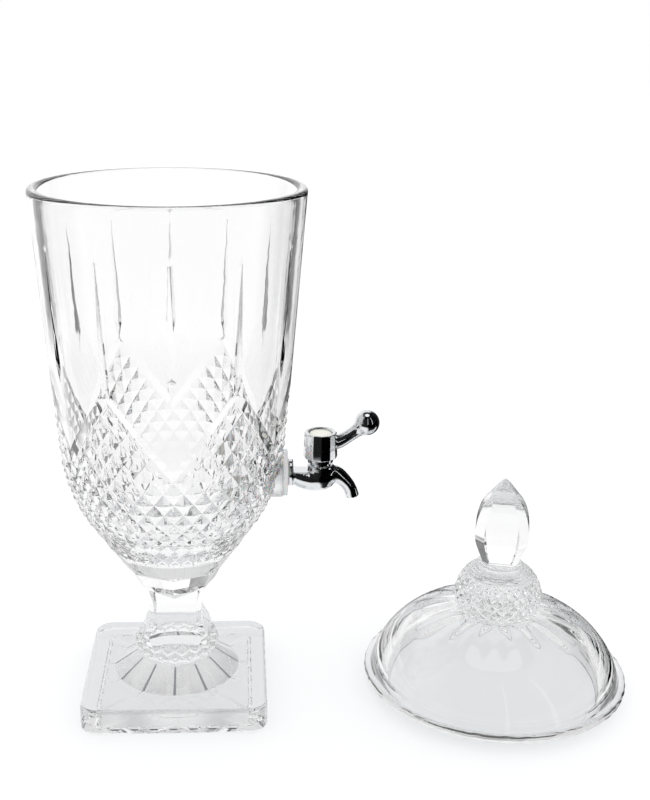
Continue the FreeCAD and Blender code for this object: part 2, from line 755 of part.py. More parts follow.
outline(finger, [
    ("0", "0"),
    ("stop_radius * cos(%s)" % FINGER_HALF, "-stop_radius * sin(%s)" % FINGER_HALF, "stop_radius", 1),
    ("stop_radius * cos(%s)" % FINGER_HALF, "stop_radius * sin(%s)" % FINGER_HALF),
])
pad(plug, "stop_finger", finger, "stop_thickness")
square = new_sketch(plug, "square_outline", "XY_Plane", "spindle_square_start")
ring(square, "spindle_radius + 1")
outline(square, bevelled_square("(spindle_square / 2)", "0.3"))
pocket(plug, "square_end", square, "spindle_top - spindle_square_start", backwards=True)
port = new_sketch(plug, "port_outline", "XZ_Plane", "chamber_radius + 1")
ring(port, "water_way_radius", "0", "water_way_height")
pocket(plug, "port", port, "2 * chamber_radius + 2")
screw_hole = new_sketch(plug, "screw_hole_outline", "XY_Plane", "spindle_top")
ring(screw_hole, "screw_radius + thread_clearance")
pocket(plug, "screw_hole", screw_hole, "screw_length - (screw_well_floor - spindle_top) + 1")

for label, height in (("plug_seal_lower", "lower_o_ring_height"), ("plug_seal_upper", "upper_o_ring_height")):
    seal = valve_body(label)
    sketch = new_sketch(seal, label + "_section", "XZ_Plane")
    ring(sketch, "o_ring_wire", "groove_radius + %s" % GROOVE_HALF, height)
    turned(seal, label + "_ring", sketch)

slip = valve_body("thrust_washer")
sketch = new_sketch(slip, "slip_outline", "XY_Plane", SLIP_BOTTOM)
ring(sketch, "counterbore_radius - seal_clearance")
ring(sketch, "spindle_radius + 2 * running_clearance")
pad(slip, "slip_ring", sketch, "slip_thickness")

bonnet = valve_body("bonnet_nut")
sketch = new_sketch(bonnet, "bonnet_profile", "XZ_Plane")
outline(sketch, [
    ("spindle_radius + running_clearance", SLIP_TOP),
    ("skirt_radius", SLIP_TOP),
    ("skirt_radius", "neck_top"),
    ("bonnet_radius", "neck_top"),
    ("bonnet_radius", "bonnet_top - 0.6"),
    ("bonnet_radius - 0.6", "bonnet_top"),
    ("spindle_radius + running_clearance", "bonnet_top"),
])
turned(bonnet, "bonnet", sketch)

pin = valve_body("stop_pin")
sketch = new_sketch(pin, "stop_pin_outline", "XY_Plane", "ledge_height - stop_pin_depth")
ring(sketch, "stop_pin_radius", "-stop_pin_ring", "0")
pad(pin, "pin", sketch, "stop_pin_depth + stop_thickness")

# Lever: faceted cap on the spindle, an arm that rises over the spout, and a ball
handle = valve_body("lever_handle")
cap_sections = []
for name, height, radius in (("cap_low", "cap_bottom", "cap_bottom_radius"), ("cap_high", "cap_top", "cap_top_radius")):
    section = new_sketch(handle, name, "XY_Plane", height)
    outline(section, regular(radius, SIZES["cap_sides"], 180 / SIZES["cap_sides"]))
    cap_sections.append(section)
loft(handle, "cap", cap_sections, ruled=True)
ARM_HEIGHT = "(cap_top - arm_drop)"
BALL_HEIGHT = "(%s + ball_rise)" % ARM_HEIGHT
arm_sections = []
for name, distance, height, radius, tilt in (
    ("arm_root", "cap_top_radius * 0.6", ARM_HEIGHT, "arm_root_radius", -12),
    ("arm_edge", "cap_bottom_radius + 1", ARM_HEIGHT + " + ball_rise * 0.05", "arm_root_radius - 0.2", -14),
    ("arm_middle", "ball_distance * 0.6", ARM_HEIGHT + " + ball_rise * 0.32", "arm_radius", -34),
    ("arm_neck", "ball_distance * 0.83", ARM_HEIGHT + " + ball_rise * 0.68", "arm_neck_radius", -43),
):
    section = tilted_sketch(handle, name, distance, height, tilt)
    ring(section, radius)
    arm_sections.append(section)
loft(handle, "arm", arm_sections)
ball = new_sketch(handle, "ball_profile", "XZ_Plane")
outline(ball, [
    ("ball_distance", BALL_HEIGHT + " - ball_radius", "ball_radius", 1),
    ("ball_distance + ball_radius", BALL_HEIGHT, "ball_radius", 1),
    ("ball_distance", BALL_HEIGHT + " + ball_radius"),
])
axis_line(ball, "ball_distance", BALL_HEIGHT + " - ball_radius", "y")
turned(handle, "ball", ball, axis="Axis0")
for name, height, radius, depth in (
    ("button_well", "cap_top", "button_radius + button_clearance", "button_depth"),
    ("screw_well", "cap_top", "screw_well_radius", "cap_top - screw_well_floor"),
    ("screw_way", "cap_top", "screw_radius + button_clearance", "cap_top - spindle_top"),
):
    sketch = new_sketch(handle, name + "_outline", "XY_Plane", height)
    ring(sketch, radius)
    pocket(handle, name, sketch, depth)
socket = new_sketch(handle, "socket_outline", "XY_Plane", "cap_bottom")
outline(socket, bevelled_square("(spindle_square / 2 + running_clearance)", "0.25"))
pocket(handle, "socket", socket, "spindle_top - cap_bottom + running_clearance", backwards=True)
clear_hole = new_sketch(handle, "spindle_way_outline", "XY_Plane", "cap_bottom")
ring(clear_hole, "spindle_radius + running_clearance")
pocket(handle, "spindle_way", clear_hole, "spindle_square_start - cap_bottom + running_clearance", backwards=True)

screw = valve_body("handle_screw")
sketch = new_sketch(screw, "screw_profile", "XZ_Plane")
outline(sketch, [
    ("0", "screw_well_floor - screw_length"),
    ("screw_radius", "screw_well_floor - screw_length"),
    ("screw_radius", "screw_well_floor"),
    ("screw_head_radius", "screw_well_floor"),
    ("screw_head_radius", "screw_well_floor + screw_head_height - 0.5"),
    ("screw_head_radius - 0.5", "screw_well_floor + screw_head_height"),
    ("0", "screw_well_floor + screw_head_height"),
])
turned(screw, "screw", sketch)
drive = new_sketch(screw, "drive_outline", "XY_Plane", "screw_well_floor + screw_head_height")
outline(drive, regular("screw_radius", 6))
pocket(screw, "drive", drive, "screw_head_height * 0.6")

button = valve_body("top_button")
sketch = new_sketch(button, "button_profile", "XZ_Plane")
BUTTON_SEAT = "(cap_top - button_depth)"
outline(sketch, [
    ("0", BUTTON_SEAT),
    ("button_radius", BUTTON_SEAT),
    ("button_radius", BUTTON_SEAT + " + button_thickness - 0.5"),
    ("button_radius - 0.5", BUTTON_SEAT + " + button_thickness"),
    ("0", BUTTON_SEAT + " + button_thickness"),
])
turned(button, "button", sketch)

# Everything is checked before anything is written
doc.recompute()
failed = [obj.Name for obj in doc.Objects if "Invalid" in obj.State or "Error" in obj.State]
for name, body in parts.items():
    shape = body.Shape
    if shape.isNull() or not shape.isValid() or len(shape.Solids) != 1:
        failed.append(name)
if failed:
    raise RuntimeError("failed: " + ", ".join(failed))
os.makedirs("parts", exist_ok=True)
for name, body in parts.items():
    body.Shape.exportStep("parts/%s.step" % name)
    print("%-18s %10.1f mm3" % (name, body.Shape.Volume))
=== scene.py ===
import math

import bmesh
import bpy
import numpy as np
from mathutils import Matrix, Vector


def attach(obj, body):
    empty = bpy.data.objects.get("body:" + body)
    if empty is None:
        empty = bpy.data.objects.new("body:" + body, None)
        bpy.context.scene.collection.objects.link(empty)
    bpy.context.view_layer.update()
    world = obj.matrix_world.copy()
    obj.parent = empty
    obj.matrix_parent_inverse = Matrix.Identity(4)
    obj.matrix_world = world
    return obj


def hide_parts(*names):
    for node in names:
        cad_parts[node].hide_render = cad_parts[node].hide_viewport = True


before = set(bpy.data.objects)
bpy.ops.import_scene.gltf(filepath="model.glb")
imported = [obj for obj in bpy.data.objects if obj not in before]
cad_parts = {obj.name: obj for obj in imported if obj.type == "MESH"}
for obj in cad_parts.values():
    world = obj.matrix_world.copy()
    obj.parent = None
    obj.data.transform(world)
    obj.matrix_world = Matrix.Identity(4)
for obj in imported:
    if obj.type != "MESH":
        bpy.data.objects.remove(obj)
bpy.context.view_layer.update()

scene = bpy.context.scene

# Jar, bowl. Clear glass, pressed in one piece with its foot and cut on a wheel: twelve long V cuts, and
# under a zigzag border a lattice of pointed diamonds that runs down the shoulder. Shapes are worked out in
# millimetres and written in metres, and a round skin has a column of points every 1.25 degrees.
COLUMNS = 288
STEP = 2 * math.pi / COLUMNS
columns = np.arange(COLUMNS)
angles = columns * STEP
WALL_TOP, BELLY = (92.0, 372.0), (78.4, 190.0)
SHOULDER_END, SHOULDER_ARC = (58.0, 135.0), 105.0
CONE_END = (36.4, 103.5)


def smooth(x, low, high):
    """0 below low, 1 above high, and a smooth step between them."""
    t = np.clip((x - low) / (high - low), 0, 1)
    return t * t * (3 - 2 * t)


def cone_radius(height, low, high):
    """Radius at a height of the cone through two (radius, height) points."""
    return low[0] + (height - low[1]) * (high[0] - low[0]) / (high[1] - low[1])


def arc_radius_at(height, low, high, radius):
    """Distance from the axis, at a height, of the arc of that radius that bulges out between two points."""
    (x0, z0), (x1, z1) = low, high
    chord = math.hypot(x1 - x0, z1 - z0)
    rise = math.sqrt(radius * radius - chord * chord / 4)
    cx = (x0 + x1) / 2 - (z1 - z0) / chord * rise
    cz = (z0 + z1) / 2 + (x1 - x0) / chord * rise
    return cx + np.sqrt(np.maximum(radius * radius - (height - cz) ** 2, 0))


def bowl_radius(height):
    """The bowl's outside radius: a cone above the belly, an arc at the shoulder and a cone to the knop."""
    height = np.asarray(height, float)
    upper = cone_radius(height, BELLY, WALL_TOP)
    middle = arc_radius_at(height, SHOULDER_END, BELLY, SHOULDER_ARC)
    lower = cone_radius(height, CONE_END, SHOULDER_END)
    return np.where(height > BELLY[1], upper, np.where(height > SHOULDER_END[1], middle, lower))


def ring_row(radius, height, angle=angles):
    """One row of a skin: (radius * cos, radius * sin, height) at each column's angle."""
    radius, height = np.broadcast_to(radius, angle.shape), np.broadcast_to(height, angle.shape)
    return np.stack([radius * np.cos(angle), radius * np.sin(angle), height], -1)


def closed_skin(rings, slants=None):
    """Points and faces of a closed skin. rings is (rows, columns, 3): the first and last rows close to a
    point at their middle, and each quad is cut along the diagonal that slants says (True from its first
    corner)."""
    rings = np.asarray(rings)
    rows, around = rings.shape[:2]
    points = np.concatenate([rings.reshape(-1, 3), rings[:1].mean(axis=1), rings[-1:].mean(axis=1)])
    r, c = np.meshgrid(np.arange(rows - 1), np.arange(around), indexing="ij")
    a, b = r * around + c, r * around + (c + 1) % around
    d, e = a + around, b + around
    slants = np.ones(a.shape, bool) if slants is None else slants
    first = np.where(slants[..., None], np.stack([a, d, e], -1), np.stack([a, d, b], -1))
    second = np.where(slants[..., None], np.stack([a, e, b], -1), np.stack([b, d, e], -1))
    i = np.arange(around)
    j, top, bottom, last = (i + 1) % around, rows * around, rows * around + 1, (rows - 1) * around
    top_cap = np.stack([np.full(around, top), i, j], -1)
    bottom_cap = np.stack([np.full(around, bottom), last + j, last + i], -1)
    return points, np.concatenate([first.reshape(-1, 3), second.reshape(-1, 3), top_cap, bottom_cap])


# The lattice: diamonds 10 degrees wide, with rows as far apart times a stretch. A unit is half a diamond.
# The border peaks every 60 degrees, and the wall slopes in from it to the lattice over one unit. The
# diamonds are shallower next to the border and low on the shoulder.
PER_UNIT = 4
HALF_ZIGZAG = 6
PEAK_HEIGHT = 244.8
LATTICE_UNITS, PLAIN_UNITS = 17, 14
PLAIN_TOP = 366
LATTICE_STRETCH = 1.25
LATTICE_DEPTH, FULL_DEPTH_RADIUS = 2.9, 82
SHALLOW_SHARE, SHALLOW_BELOW, FULL_ABOVE = 0.4, 118, 180
BORDER_SHARE = 0.75
PATTERN_TURN = math.radians(2.8)
FINE_STEPS = 20


def lattice_heights(start, units):
    """Heights of rows that follow the surface down from start, or up for a negative count of units."""
    heights = [start]
    for _ in range(abs(units) * FINE_STEPS):
        z = heights[-1]
        slope = float(bowl_radius(z + 0.5) - bowl_radius(z - 0.5))
        unit = LATTICE_STRETCH * float(bowl_radius(z)) * PER_UNIT * STEP / math.sqrt(1 + slope * slope)
        heights.append(z - math.copysign(unit / FINE_STEPS, units))
    return np.array(heights[::FINE_STEPS // PER_UNIT])


def off_peak(u):
    """Units from the nearest peak of the border, negative on one side of it."""
    return (u + HALF_ZIGZAG) % (2 * HALF_ZIGZAG) - HALF_ZIGZAG


def off_groove(u, v):
    """Distance from the nearest of two crossed sets of grooves: min(|p - round(p)|, |q - round(q)|) with
    p = (v - u) / 2 and q = (v + u) / 2. It is 0 on a groove and 0.5 midway."""
    p, q = (v - u) / 2, (v + u) / 2
    return np.minimum(np.abs(p - np.round(p)), np.abs(q - np.round(q)))


down = lattice_heights(PEAK_HEIGHT, LATTICE_UNITS)
up = lattice_heights(PEAK_HEIGHT, -PLAIN_UNITS)
up = up[up < PLAIN_TOP]
bowl_z = np.concatenate([up[:0:-1], down])
row_units = np.concatenate([-np.arange(len(up) - 1, 0, -1), np.arange(len(down))]) / PER_UNIT
v, u = np.meshgrid(row_units, columns / PER_UNIT, indexing="ij")
from_peak = np.abs(off_peak(u))
from_tip = np.abs((u + LATTICE_UNITS + 1) % 2 - 1)
diamonds = 2 * off_groove(u, v) - 1
border = np.minimum(from_peak - v, 1) - 1
ending = np.minimum(v - LATTICE_UNITS + 1 + from_tip, 1) - 1
pattern = np.where(v < from_peak, border, np.where(v > LATTICE_UNITS - from_tip, ending, diamonds))
softer = SHALLOW_SHARE + (1 - SHALLOW_SHARE) * smooth(bowl_z, SHALLOW_BELOW, FULL_ABOVE)[:, None]
fuller = BORDER_SHARE + (1 - BORDER_SHARE) * np.clip(v - from_peak, 0, 1)
size_share = bowl_radius(bowl_z)[:, None] / FULL_DEPTH_RADIUS
lattice = LATTICE_DEPTH * softer * fuller * size_share * np.minimum(pattern, 0)

# The long cuts: wedges with a V section that widen downwards from a point. Where the wall is plain, the
# columns beside a cut follow its edge, three of them inside it on either side.
CUT_COLUMNS, INNER_COLUMNS = COLUMNS // 12, 3
CUT_TOP, CUT_WIDEST, CUT_END = 341.0, 262.0, 250.0
CUT_DEPTH, CUT_HALF_WIDTH, NARROWEST = 2.6, 3.3, 0.004
FOLLOW_FROM, FOLLOW_WHOLLY = 246, 252
half_sector = CUT_COLUMNS // 2
wedge = np.minimum((CUT_TOP - bowl_z) / (CUT_TOP - CUT_WIDEST), (bowl_z - CUT_END) / (CUT_WIDEST - CUT_END))
wedge = np.clip(wedge, 0, 1)[:, None]
edge = np.maximum(CUT_HALF_WIDTH * wedge / bowl_radius(bowl_z)[:, None], NARROWEST)
sector = (columns + half_sector) % CUT_COLUMNS - half_sector
beside = np.abs(sector)[None, :] * STEP
inner_part, whole_part = INNER_COLUMNS * STEP, half_sector * STEP
outside = edge + (beside - inner_part) * (whole_part - edge) / (whole_part - inner_part)
followed = np.where(beside <= inner_part, beside / inner_part * edge, outside)
followed = beside + (followed - beside) * smooth(bowl_z, FOLLOW_FROM, FOLLOW_WHOLLY)[:, None]
bowl_angles = (angles - sector * STEP)[None, :] + np.sign(sector)[None, :] * followed + PATTERN_TURN
cuts = -CUT_DEPTH * wedge * np.clip(1 - followed / edge, 0, 1)
bowl_r = bowl_radius(bowl_z)[:, None] + lattice + cuts

# The rim's round, the bowl's wall, and the cone down to the knop
JAR_TOP, RIM_RADIUS, RIM_ROUND = 372.0, 91.9, 3.0
RIM_ROWS, CONE_ROWS, KNOP_GAP = 11, 12, 0.7
rows = []
for t in np.radians(np.linspace(90, 0, RIM_ROWS)):
    rim_radius = RIM_RADIUS - RIM_ROUND + RIM_ROUND * math.cos(t)
    rows.append(ring_row(rim_radius, JAR_TOP - RIM_ROUND + RIM_ROUND * math.sin(t), bowl_angles[0]))
rows += [ring_row(r, z, a) for r, z, a in zip(bowl_r, bowl_z, bowl_angles)]
cone_z = np.linspace(bowl_z[-1], CONE_END[1] + KNOP_GAP, CONE_ROWS)
for share, z in zip(np.linspace(1, 0, CONE_ROWS)[1:], cone_z[1:]):
    rows.append(ring_row(float(bowl_radius(z)), z, angles + PATTERN_TURN * share))

# The knop: an octagon with a corner on each axis, undercut below its edge and then cut in two slopes
KNOP = ((103.5, 37.6), (102.0, 35.4), (88.0, 28.2), (80.0, 19.0))
octagon = math.cos(math.pi / 8) / np.cos(np.mod(angles, math.pi / 4) - math.pi / 8)
for (z0, r0), (z1, r1) in zip(KNOP[:-1], KNOP[1:]):
    is_made = int(rows[-1][0, 2] == z0)
    for t in np.linspace(0, 1, 4)[is_made:]:
        rows.append(ring_row((r0 + (r1 - r0) * t) * octagon, z0 + (z1 - z0) * t))

# The inner skin runs from the rim down to the round floor
INNER_RIM, INNER_BELLY = (84.5, 369.0), (70.9, 192.0)
FLOOR_EDGE, FLOOR_MIDDLE, INNER_SHOULDER_ARC = (51.9, 139), (0.5, 117), 96
inside = []
for t in np.radians(np.linspace(90, 0, 9)):
    rim_radius = INNER_RIM[0] + RIM_ROUND - RIM_ROUND * math.cos(t)
    inside.append((rim_radius, JAR_TOP - RIM_ROUND + RIM_ROUND * math.sin(t)))
for z in (350, 320, 290, 260, 230, 210, 195):
    inside.append((cone_radius(z, INNER_BELLY, INNER_RIM), z))
for z in np.linspace(190, FLOOR_EDGE[1], 18):
    inside.append((float(arc_radius_at(z, FLOOR_EDGE, INNER_BELLY, INNER_SHOULDER_ARC)), z))
for t in np.linspace(0, 1, 12)[1:]:
    floor_radius = FLOOR_MIDDLE[0] + (FLOOR_EDGE[0] - FLOOR_MIDDLE[0]) * (1 - t) ** 0.9
    inside.append((floor_radius, FLOOR_MIDDLE[1] + (FLOOR_EDGE[1] - FLOOR_MIDDLE[1]) * (1 - t) ** 2.2))
skin = np.array([ring_row(r, z, bowl_angles[0]) for r, z in inside[::-1]] + rows)

# Quads of the lattice are cut along its grooves, and those over it along the border
slants = np.ones((len(skin) - 1, COLUMNS), bool)
first_wall = len(inside) + RIM_ROWS
middle_rows = (row_units[1:] + row_units[:-1]) / 2
middle_v, middle_u = np.meshgrid(middle_rows, (columns + 0.5) / PER_UNIT, indexing="ij")
over_border = middle_v < np.abs(off_peak(middle_u))
along_groove = (np.floor(middle_v) + np.floor(middle_u)) % 2 == 0
slants[first_wall:first_wall + len(bowl_z) - 1] = np.where(over_border, off_peak(middle_u) > 0, along_groove)
bowl_skin = closed_skin(skin, slants)

# Jar, stem. The same glass, pressed to a square with bevelled corners that waists and spreads to a wide
# bevelled foot on the bead ring. Each row is (height, half the width, how much of each corner is bevelled).
STEM = ((90.0, 21.2, 3.6), (86.0, 21.2, 3.6), (79.5, 19.6, 3.6), (73.8, 18.9, 3.6), (67.8, 18.4, 3.6),
        (60.4, 18.7, 3.6), (56.0, 20.1, 3.6), (49.5, 23.0, 4.4), (43.0, 25.6, 10.6), (38.0, 26.0, 11.0))
QUARTER = COLUMNS // 4
HALF_SIDE, SIDE_COLUMNS = QUARTER // 2, 30


def square_angles(corner):
    """The columns' angles, moved so that some of them lie on the corners, at that angle from each axis."""
    fold = np.abs((columns + HALF_SIDE) % QUARTER - HALF_SIDE)
    past_corner = (fold - SIDE_COLUMNS) / (HALF_SIDE - SIDE_COLUMNS)
    moved = np.where(fold <= SIDE_COLUMNS, fold / SIDE_COLUMNS * corner,
                     corner + past_corner * (math.pi / 4 - corner))
    side = np.where((columns + HALF_SIDE) % QUARTER < HALF_SIDE, -1, 1)
    return np.floor(columns / QUARTER + 0.5) * math.pi / 2 + side * moved


def square(half, angle):
    """Radius at each angle of a square of that half width."""
    c, s = np.abs(np.cos(angle)), np.abs(np.sin(angle))
    return np.minimum(half / np.maximum(c, 1e-9), half / np.maximum(s, 1e-9))


def bevelled(half, bevel, angle):
    """Radius at each angle of a square of that half width whose corners are cut off."""
    diagonal = np.abs(np.cos(angle)) + np.abs(np.sin(angle))
    return np.minimum(square(half, angle), (2 * half - bevel) / diagonal)


def curve_through(stations, count):
    """More stations on a smooth curve through the given ones, each span cut in count."""
    s = np.array(stations, float)
    s = np.concatenate([[2 * s[0] - s[1]], s, [2 * s[-1] - s[-2]]])
    a, b, c, d = s[:-3, None], s[1:-2, None], s[2:-1, None], s[3:, None]
    t = (np.arange(count) / count)[None, :, None]
    second, third = 2 * a - 5 * b + 4 * c - d, 3 * b - a - 3 * c + d
    spans = 0.5 * (2 * b + (c - a) * t + second * t ** 2 + third * t ** 3)
    return np.concatenate([spans.reshape(-1, s.shape[1]), s[-2:-1]])


rows = []
for z, half, bevel in curve_through(STEM, 5):
    stem_angle = square_angles(math.atan2(half - bevel, half))
    rows.append(ring_row(bevelled(half, bevel, stem_angle), z, stem_angle))
stem_skin = closed_skin(rows)

# Jar, bead ring and foot. A ring of pressed beads, a low cone with twelve V rays cut by a small wheel, and a
# thick square plate with rounded corners. Its underside has a notched channel round its border and is
# hollowed very slightly in the middle.
RING_MIDDLE, RING_CENTRE, RING_ROUND, RING_ROWS = 39.0, 22.3, 8.6, 31
BEAD_COLUMNS, BEAD_DEPTH = 8, 1.25
BEADS_START, BEADS_FULL, BEADS_FADE = 3, 7, 4
rows = []
for i, t in enumerate(np.radians(np.linspace(90, -60, RING_ROWS))):
    groove = 1 - 2 * off_groove(columns / BEAD_COLUMNS, (i - BEADS_START) / BEAD_COLUMNS)
    fading_in, fading_out = smooth(i, BEADS_START, BEADS_FULL), smooth(RING_ROWS - 1 - i, 0, BEADS_FADE)
    round_here = RING_ROUND - BEAD_DEPTH * groove ** 2 * fading_in * fading_out
    rows.append(ring_row(RING_CENTRE + round_here * math.cos(t), RING_MIDDLE + round_here * math.sin(t)))
FOOT_HALF, FOOT_CORNER, FOOT_TOP, FOOT_EDGE = 65.75, 13.0, 18.0, 3.0
CONE_TOP, CONE_FOOT = (26.6, 31.5), (45.5, 18.0)
RAYS, RAY_DEPTH, RAY_HALF_WIDTH = 12, 0.9, 0.8
RAY_MIDDLE, RAY_REACH, RAY_TIP = 37, 9, 0.01
FOOT_SIDE = ((0, 10), (0, 1.4), (0.4, 0.4), (1.4, 0))
CHANNEL, CHANNEL_DEPTH, CHANNEL_CORNER = ((10.8, 0), (11.5, 1), (12.9, 1), (13.6, 0)), 1.4, 0.6
NOTCH_PITCH, NOTCH_EDGE, BETWEEN_NOTCHES = 13.7, 0.35, 0.2
UNDER_HOLLOW = ((33.0, 0.0), (32.5, 0.3), (20.0, 0.3))
foot_angles = square_angles(math.atan2(FOOT_HALF - FOOT_CORNER, FOOT_HALF))


def rounded_square(half, corner, angle):
    """Radius at each angle of a square with rounded corners."""
    c, s = np.abs(np.cos(angle)), np.abs(np.sin(angle))
    flat = square(half, angle)
    m = half - corner
    b = m * (c + s)
    bend = b + np.sqrt(np.maximum(b * b - (2 * m * m - corner * corner), 0))
    return np.where((flat * c > m) & (flat * s > m), bend, flat)


def cone_height(r):
    """Height of the foot's cone at a distance from the axis."""
    return CONE_TOP[1] + (r - CONE_TOP[0]) / (CONE_FOOT[0] - CONE_TOP[0]) * (CONE_FOOT[1] - CONE_TOP[1])


def plate_row(inset, z):
    """A row round the foot's plate, that far in from its side."""
    return ring_row(rounded_square(FOOT_HALF - inset, FOOT_CORNER - inset, foot_angles), z, foot_angles)


half_ray = math.pi / RAYS
off_ray = np.abs((angles + half_ray) % (2 * half_ray) - half_ray)
for t in np.linspace(0, 1, 20)[1:]:
    r = CONE_TOP[0] + t * (CONE_FOOT[0] - CONE_TOP[0])
    depth = RAY_DEPTH * math.sqrt(max(1 - ((r - RAY_MIDDLE) / RAY_REACH) ** 2, 0))
    half_width = RAY_HALF_WIDTH * depth / RAY_DEPTH + RAY_TIP
    rows.append(ring_row(r, cone_height(r) - depth * np.clip(1 - off_ray * r / half_width, 0, 1)))
top_square = rounded_square(FOOT_HALF - FOOT_EDGE, FOOT_CORNER - FOOT_EDGE, foot_angles)
for t in (0.35, 0.7, 1.0):
    top_radius = CONE_FOOT[0] + (top_square - CONE_FOOT[0]) * t
    rows.append(ring_row(top_radius, FOOT_TOP, angles + (foot_angles - angles) * t))
for t in np.radians(np.linspace(0, 90, 10)[1:]):
    rows.append(plate_row(FOOT_EDGE * (1 - math.sin(t)), FOOT_TOP - FOOT_EDGE + FOOT_EDGE * math.cos(t)))
rows += [plate_row(inset, z) for inset, z in FOOT_SIDE]
for inset, share in CHANNEL:
    r = rounded_square(FOOT_HALF - inset, FOOT_CORNER * CHANNEL_CORNER, foot_angles)
    x, y = r * np.cos(foot_angles), r * np.sin(foot_angles)
    along = np.where(np.abs(np.cos(foot_angles)) > np.abs(np.sin(foot_angles)), y, x)
    notch = smooth(np.cos(along / NOTCH_PITCH * 2 * math.pi), -NOTCH_EDGE, NOTCH_EDGE)
    notched_depth = CHANNEL_DEPTH * share * (BETWEEN_NOTCHES + (1 - BETWEEN_NOTCHES) * notch)
    rows.append(ring_row(r, notched_depth, foot_angles))
rows += [ring_row(r, z) for r, z in UNDER_HOLLOW]
foot_skin = closed_skin(rows)


# Jar, the whole piece: the skins above are joined, and the tap's flat seats and hole are cut. Fire polish
# leaves the glass bright and very faintly uneven. The seats and the underside are ground, so they look
# milky, and the glass in the foot's rays is tinted grey: painted shade for the dark lines they show.
def linear(hex_colour, alpha=1.0):
    """An sRGB hex colour as the linear numbers that a socket takes."""
    parts = [int(hex_colour[i:i + 2], 16) / 255 for i in (1, 3, 5)]
    return [c / 12.92 if c <= 0.04045 else ((c + 0.055) / 1.055) ** 2.4 for c in parts] + [alpha]


def node(tree, kind, inputs=None, **settings):
    """A shader node with its settings and inputs. An input is a constant, or (node, output) to link."""
    made = tree.nodes.new(kind)
    for name, value in settings.items():
        setattr(made, name, value)
    for name, value in (inputs or {}).items():
        socket = made.inputs[name]
        if isinstance(value, tuple) and len(value) == 2 and hasattr(value[0], "outputs"):
            tree.links.new(value[0].outputs[value[1]], socket)
        else:
            socket.default_value = value
    return made


def calculated(tree, operation, *inputs):
    """A math node on one to three inputs."""
    return node(tree, "ShaderNodeMath", dict(enumerate(inputs)), operation=operation)


def object_noise(tree, scale, detail):
    """Noise over the object's own coordinates."""
    coords = node(tree, "ShaderNodeTexCoord")
    return node(tree, "ShaderNodeTexNoise", {"Vector": (coords, "Object"), "Scale": scale, "Detail": detail})


def uneven_normal(tree, noise, strength, distance):
    """The normals of a surface that a noise makes uneven, up to that distance."""
    return node(tree, "ShaderNodeBump", {"Height": (noise, "Fac"), "Strength": strength,
                                         "Distance": distance})


def new_material(name):
    """A material with an empty node tree and its output node."""
    material = bpy.data.materials.new(name)
    material.use_nodes = True
    material.node_tree.nodes.clear()
    return material, material.node_tree, material.node_tree.nodes.new("ShaderNodeOutputMaterial")


def clear_glass(name, colour, rough, ripple, ripple_scale):
    """Clear glass: its transmitted colour, roughness, and the strength and scale of its unevenness. It lets
    the lamps' light through to the floor and to what it covers."""
    material, tree, out = new_material(name)
    bump = uneven_normal(tree, object_noise(tree, ripple_scale, 2.0), ripple, 0.001)
    glass = node(tree, "ShaderNodeBsdfGlass", {"Color": linear(colour), "Roughness": rough, "IOR": 1.52,
                                               "Normal": (bump, "Normal")})
    clear = node(tree, "ShaderNodeBsdfTransparent", {"Color": linear("#f2f3f4")})
    path = node(tree, "ShaderNodeLightPath")
    either = calculated(tree, "MAXIMUM", (path, "Is Shadow Ray"), (path, "Is Diffuse Ray"))
    mixed = node(tree, "ShaderNodeMixShader", {0: (either, "Value"), 1: (glass, "BSDF"), 2: (clear, "BSDF")})
    tree.links.new(mixed.outputs[0], out.inputs["Surface"])
    return material


def shade(made, crease):
    """Turns the skin's normals outward and shades it smooth, with creases past an angle."""
    mesh = made.data
    skin = bmesh.new()
    skin.from_mesh(mesh)
    if skin.calc_volume(signed=True) < 0:
        bmesh.ops.reverse_faces(skin, faces=skin.faces)
    skin.to_mesh(mesh)
    skin.free()
    mesh.polygons.foreach_set("use_smooth", [True] * len(mesh.polygons))
    mesh.set_sharp_from_angle(angle=math.radians(crease))


def new_object(name, points, faces, crease):
    """An object at the origin with that skin, from points in millimetres."""
    mesh = bpy.data.meshes.new(name)
    mesh.from_pydata((np.asarray(points) * 0.001).tolist(), [], np.asarray(faces).tolist())
    mesh.validate()
    made = bpy.data.objects.new(name, mesh)
    scene.collection.objects.link(made)
    shade(made, crease)
    return made


def piece(name, points, faces, material, body, slot, replaces, crease=25):
    """A dressed piece of the object: its mesh and material, the body it rides on, and the CAD node it
    replaces."""
    made = new_object(name, points, faces, crease)
    made.data.materials.append(material)
    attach(made, body)
    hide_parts(*replaces)
    return made


def combine(made, points, faces, operation, crease=16):
    """Joins a closed skin to a piece, or cuts it from the piece."""
    tool = new_object("tool", points, faces, 30)
    change = made.modifiers.new("change", "BOOLEAN")
    change.operation = operation
    change.solver = "MANIFOLD"
    change.object = tool
    ready = bpy.data.meshes.new_from_object(made.evaluated_get(bpy.context.evaluated_depsgraph_get()))
    made.modifiers.clear()
    made.data = ready
    bpy.data.objects.remove(tool)
    shade(made, crease)


def turned_rows(profile, centre, axis, sides):
    """Rows of points turned about an axis, "x" or "z", through centre: profile is (radius, place along the
    axis)."""
    turn = np.arange(sides) * 2 * math.pi / sides
    radius, place = np.array(profile, float)[:, :1], np.array(profile, float)[:, 1:]
    a, b, c = radius * np.cos(turn), radius * np.sin(turn), np.broadcast_to(place, (len(place), sides))
    return np.stack([c, a, b] if axis == "x" else [a, b, c], -1) + centre


def turned(profile, centre, axis, sides=96):
    """Points and faces of a turned solid, whose profile runs from one end to the other."""
    return closed_skin(turned_rows(profile, centre, axis, sides))


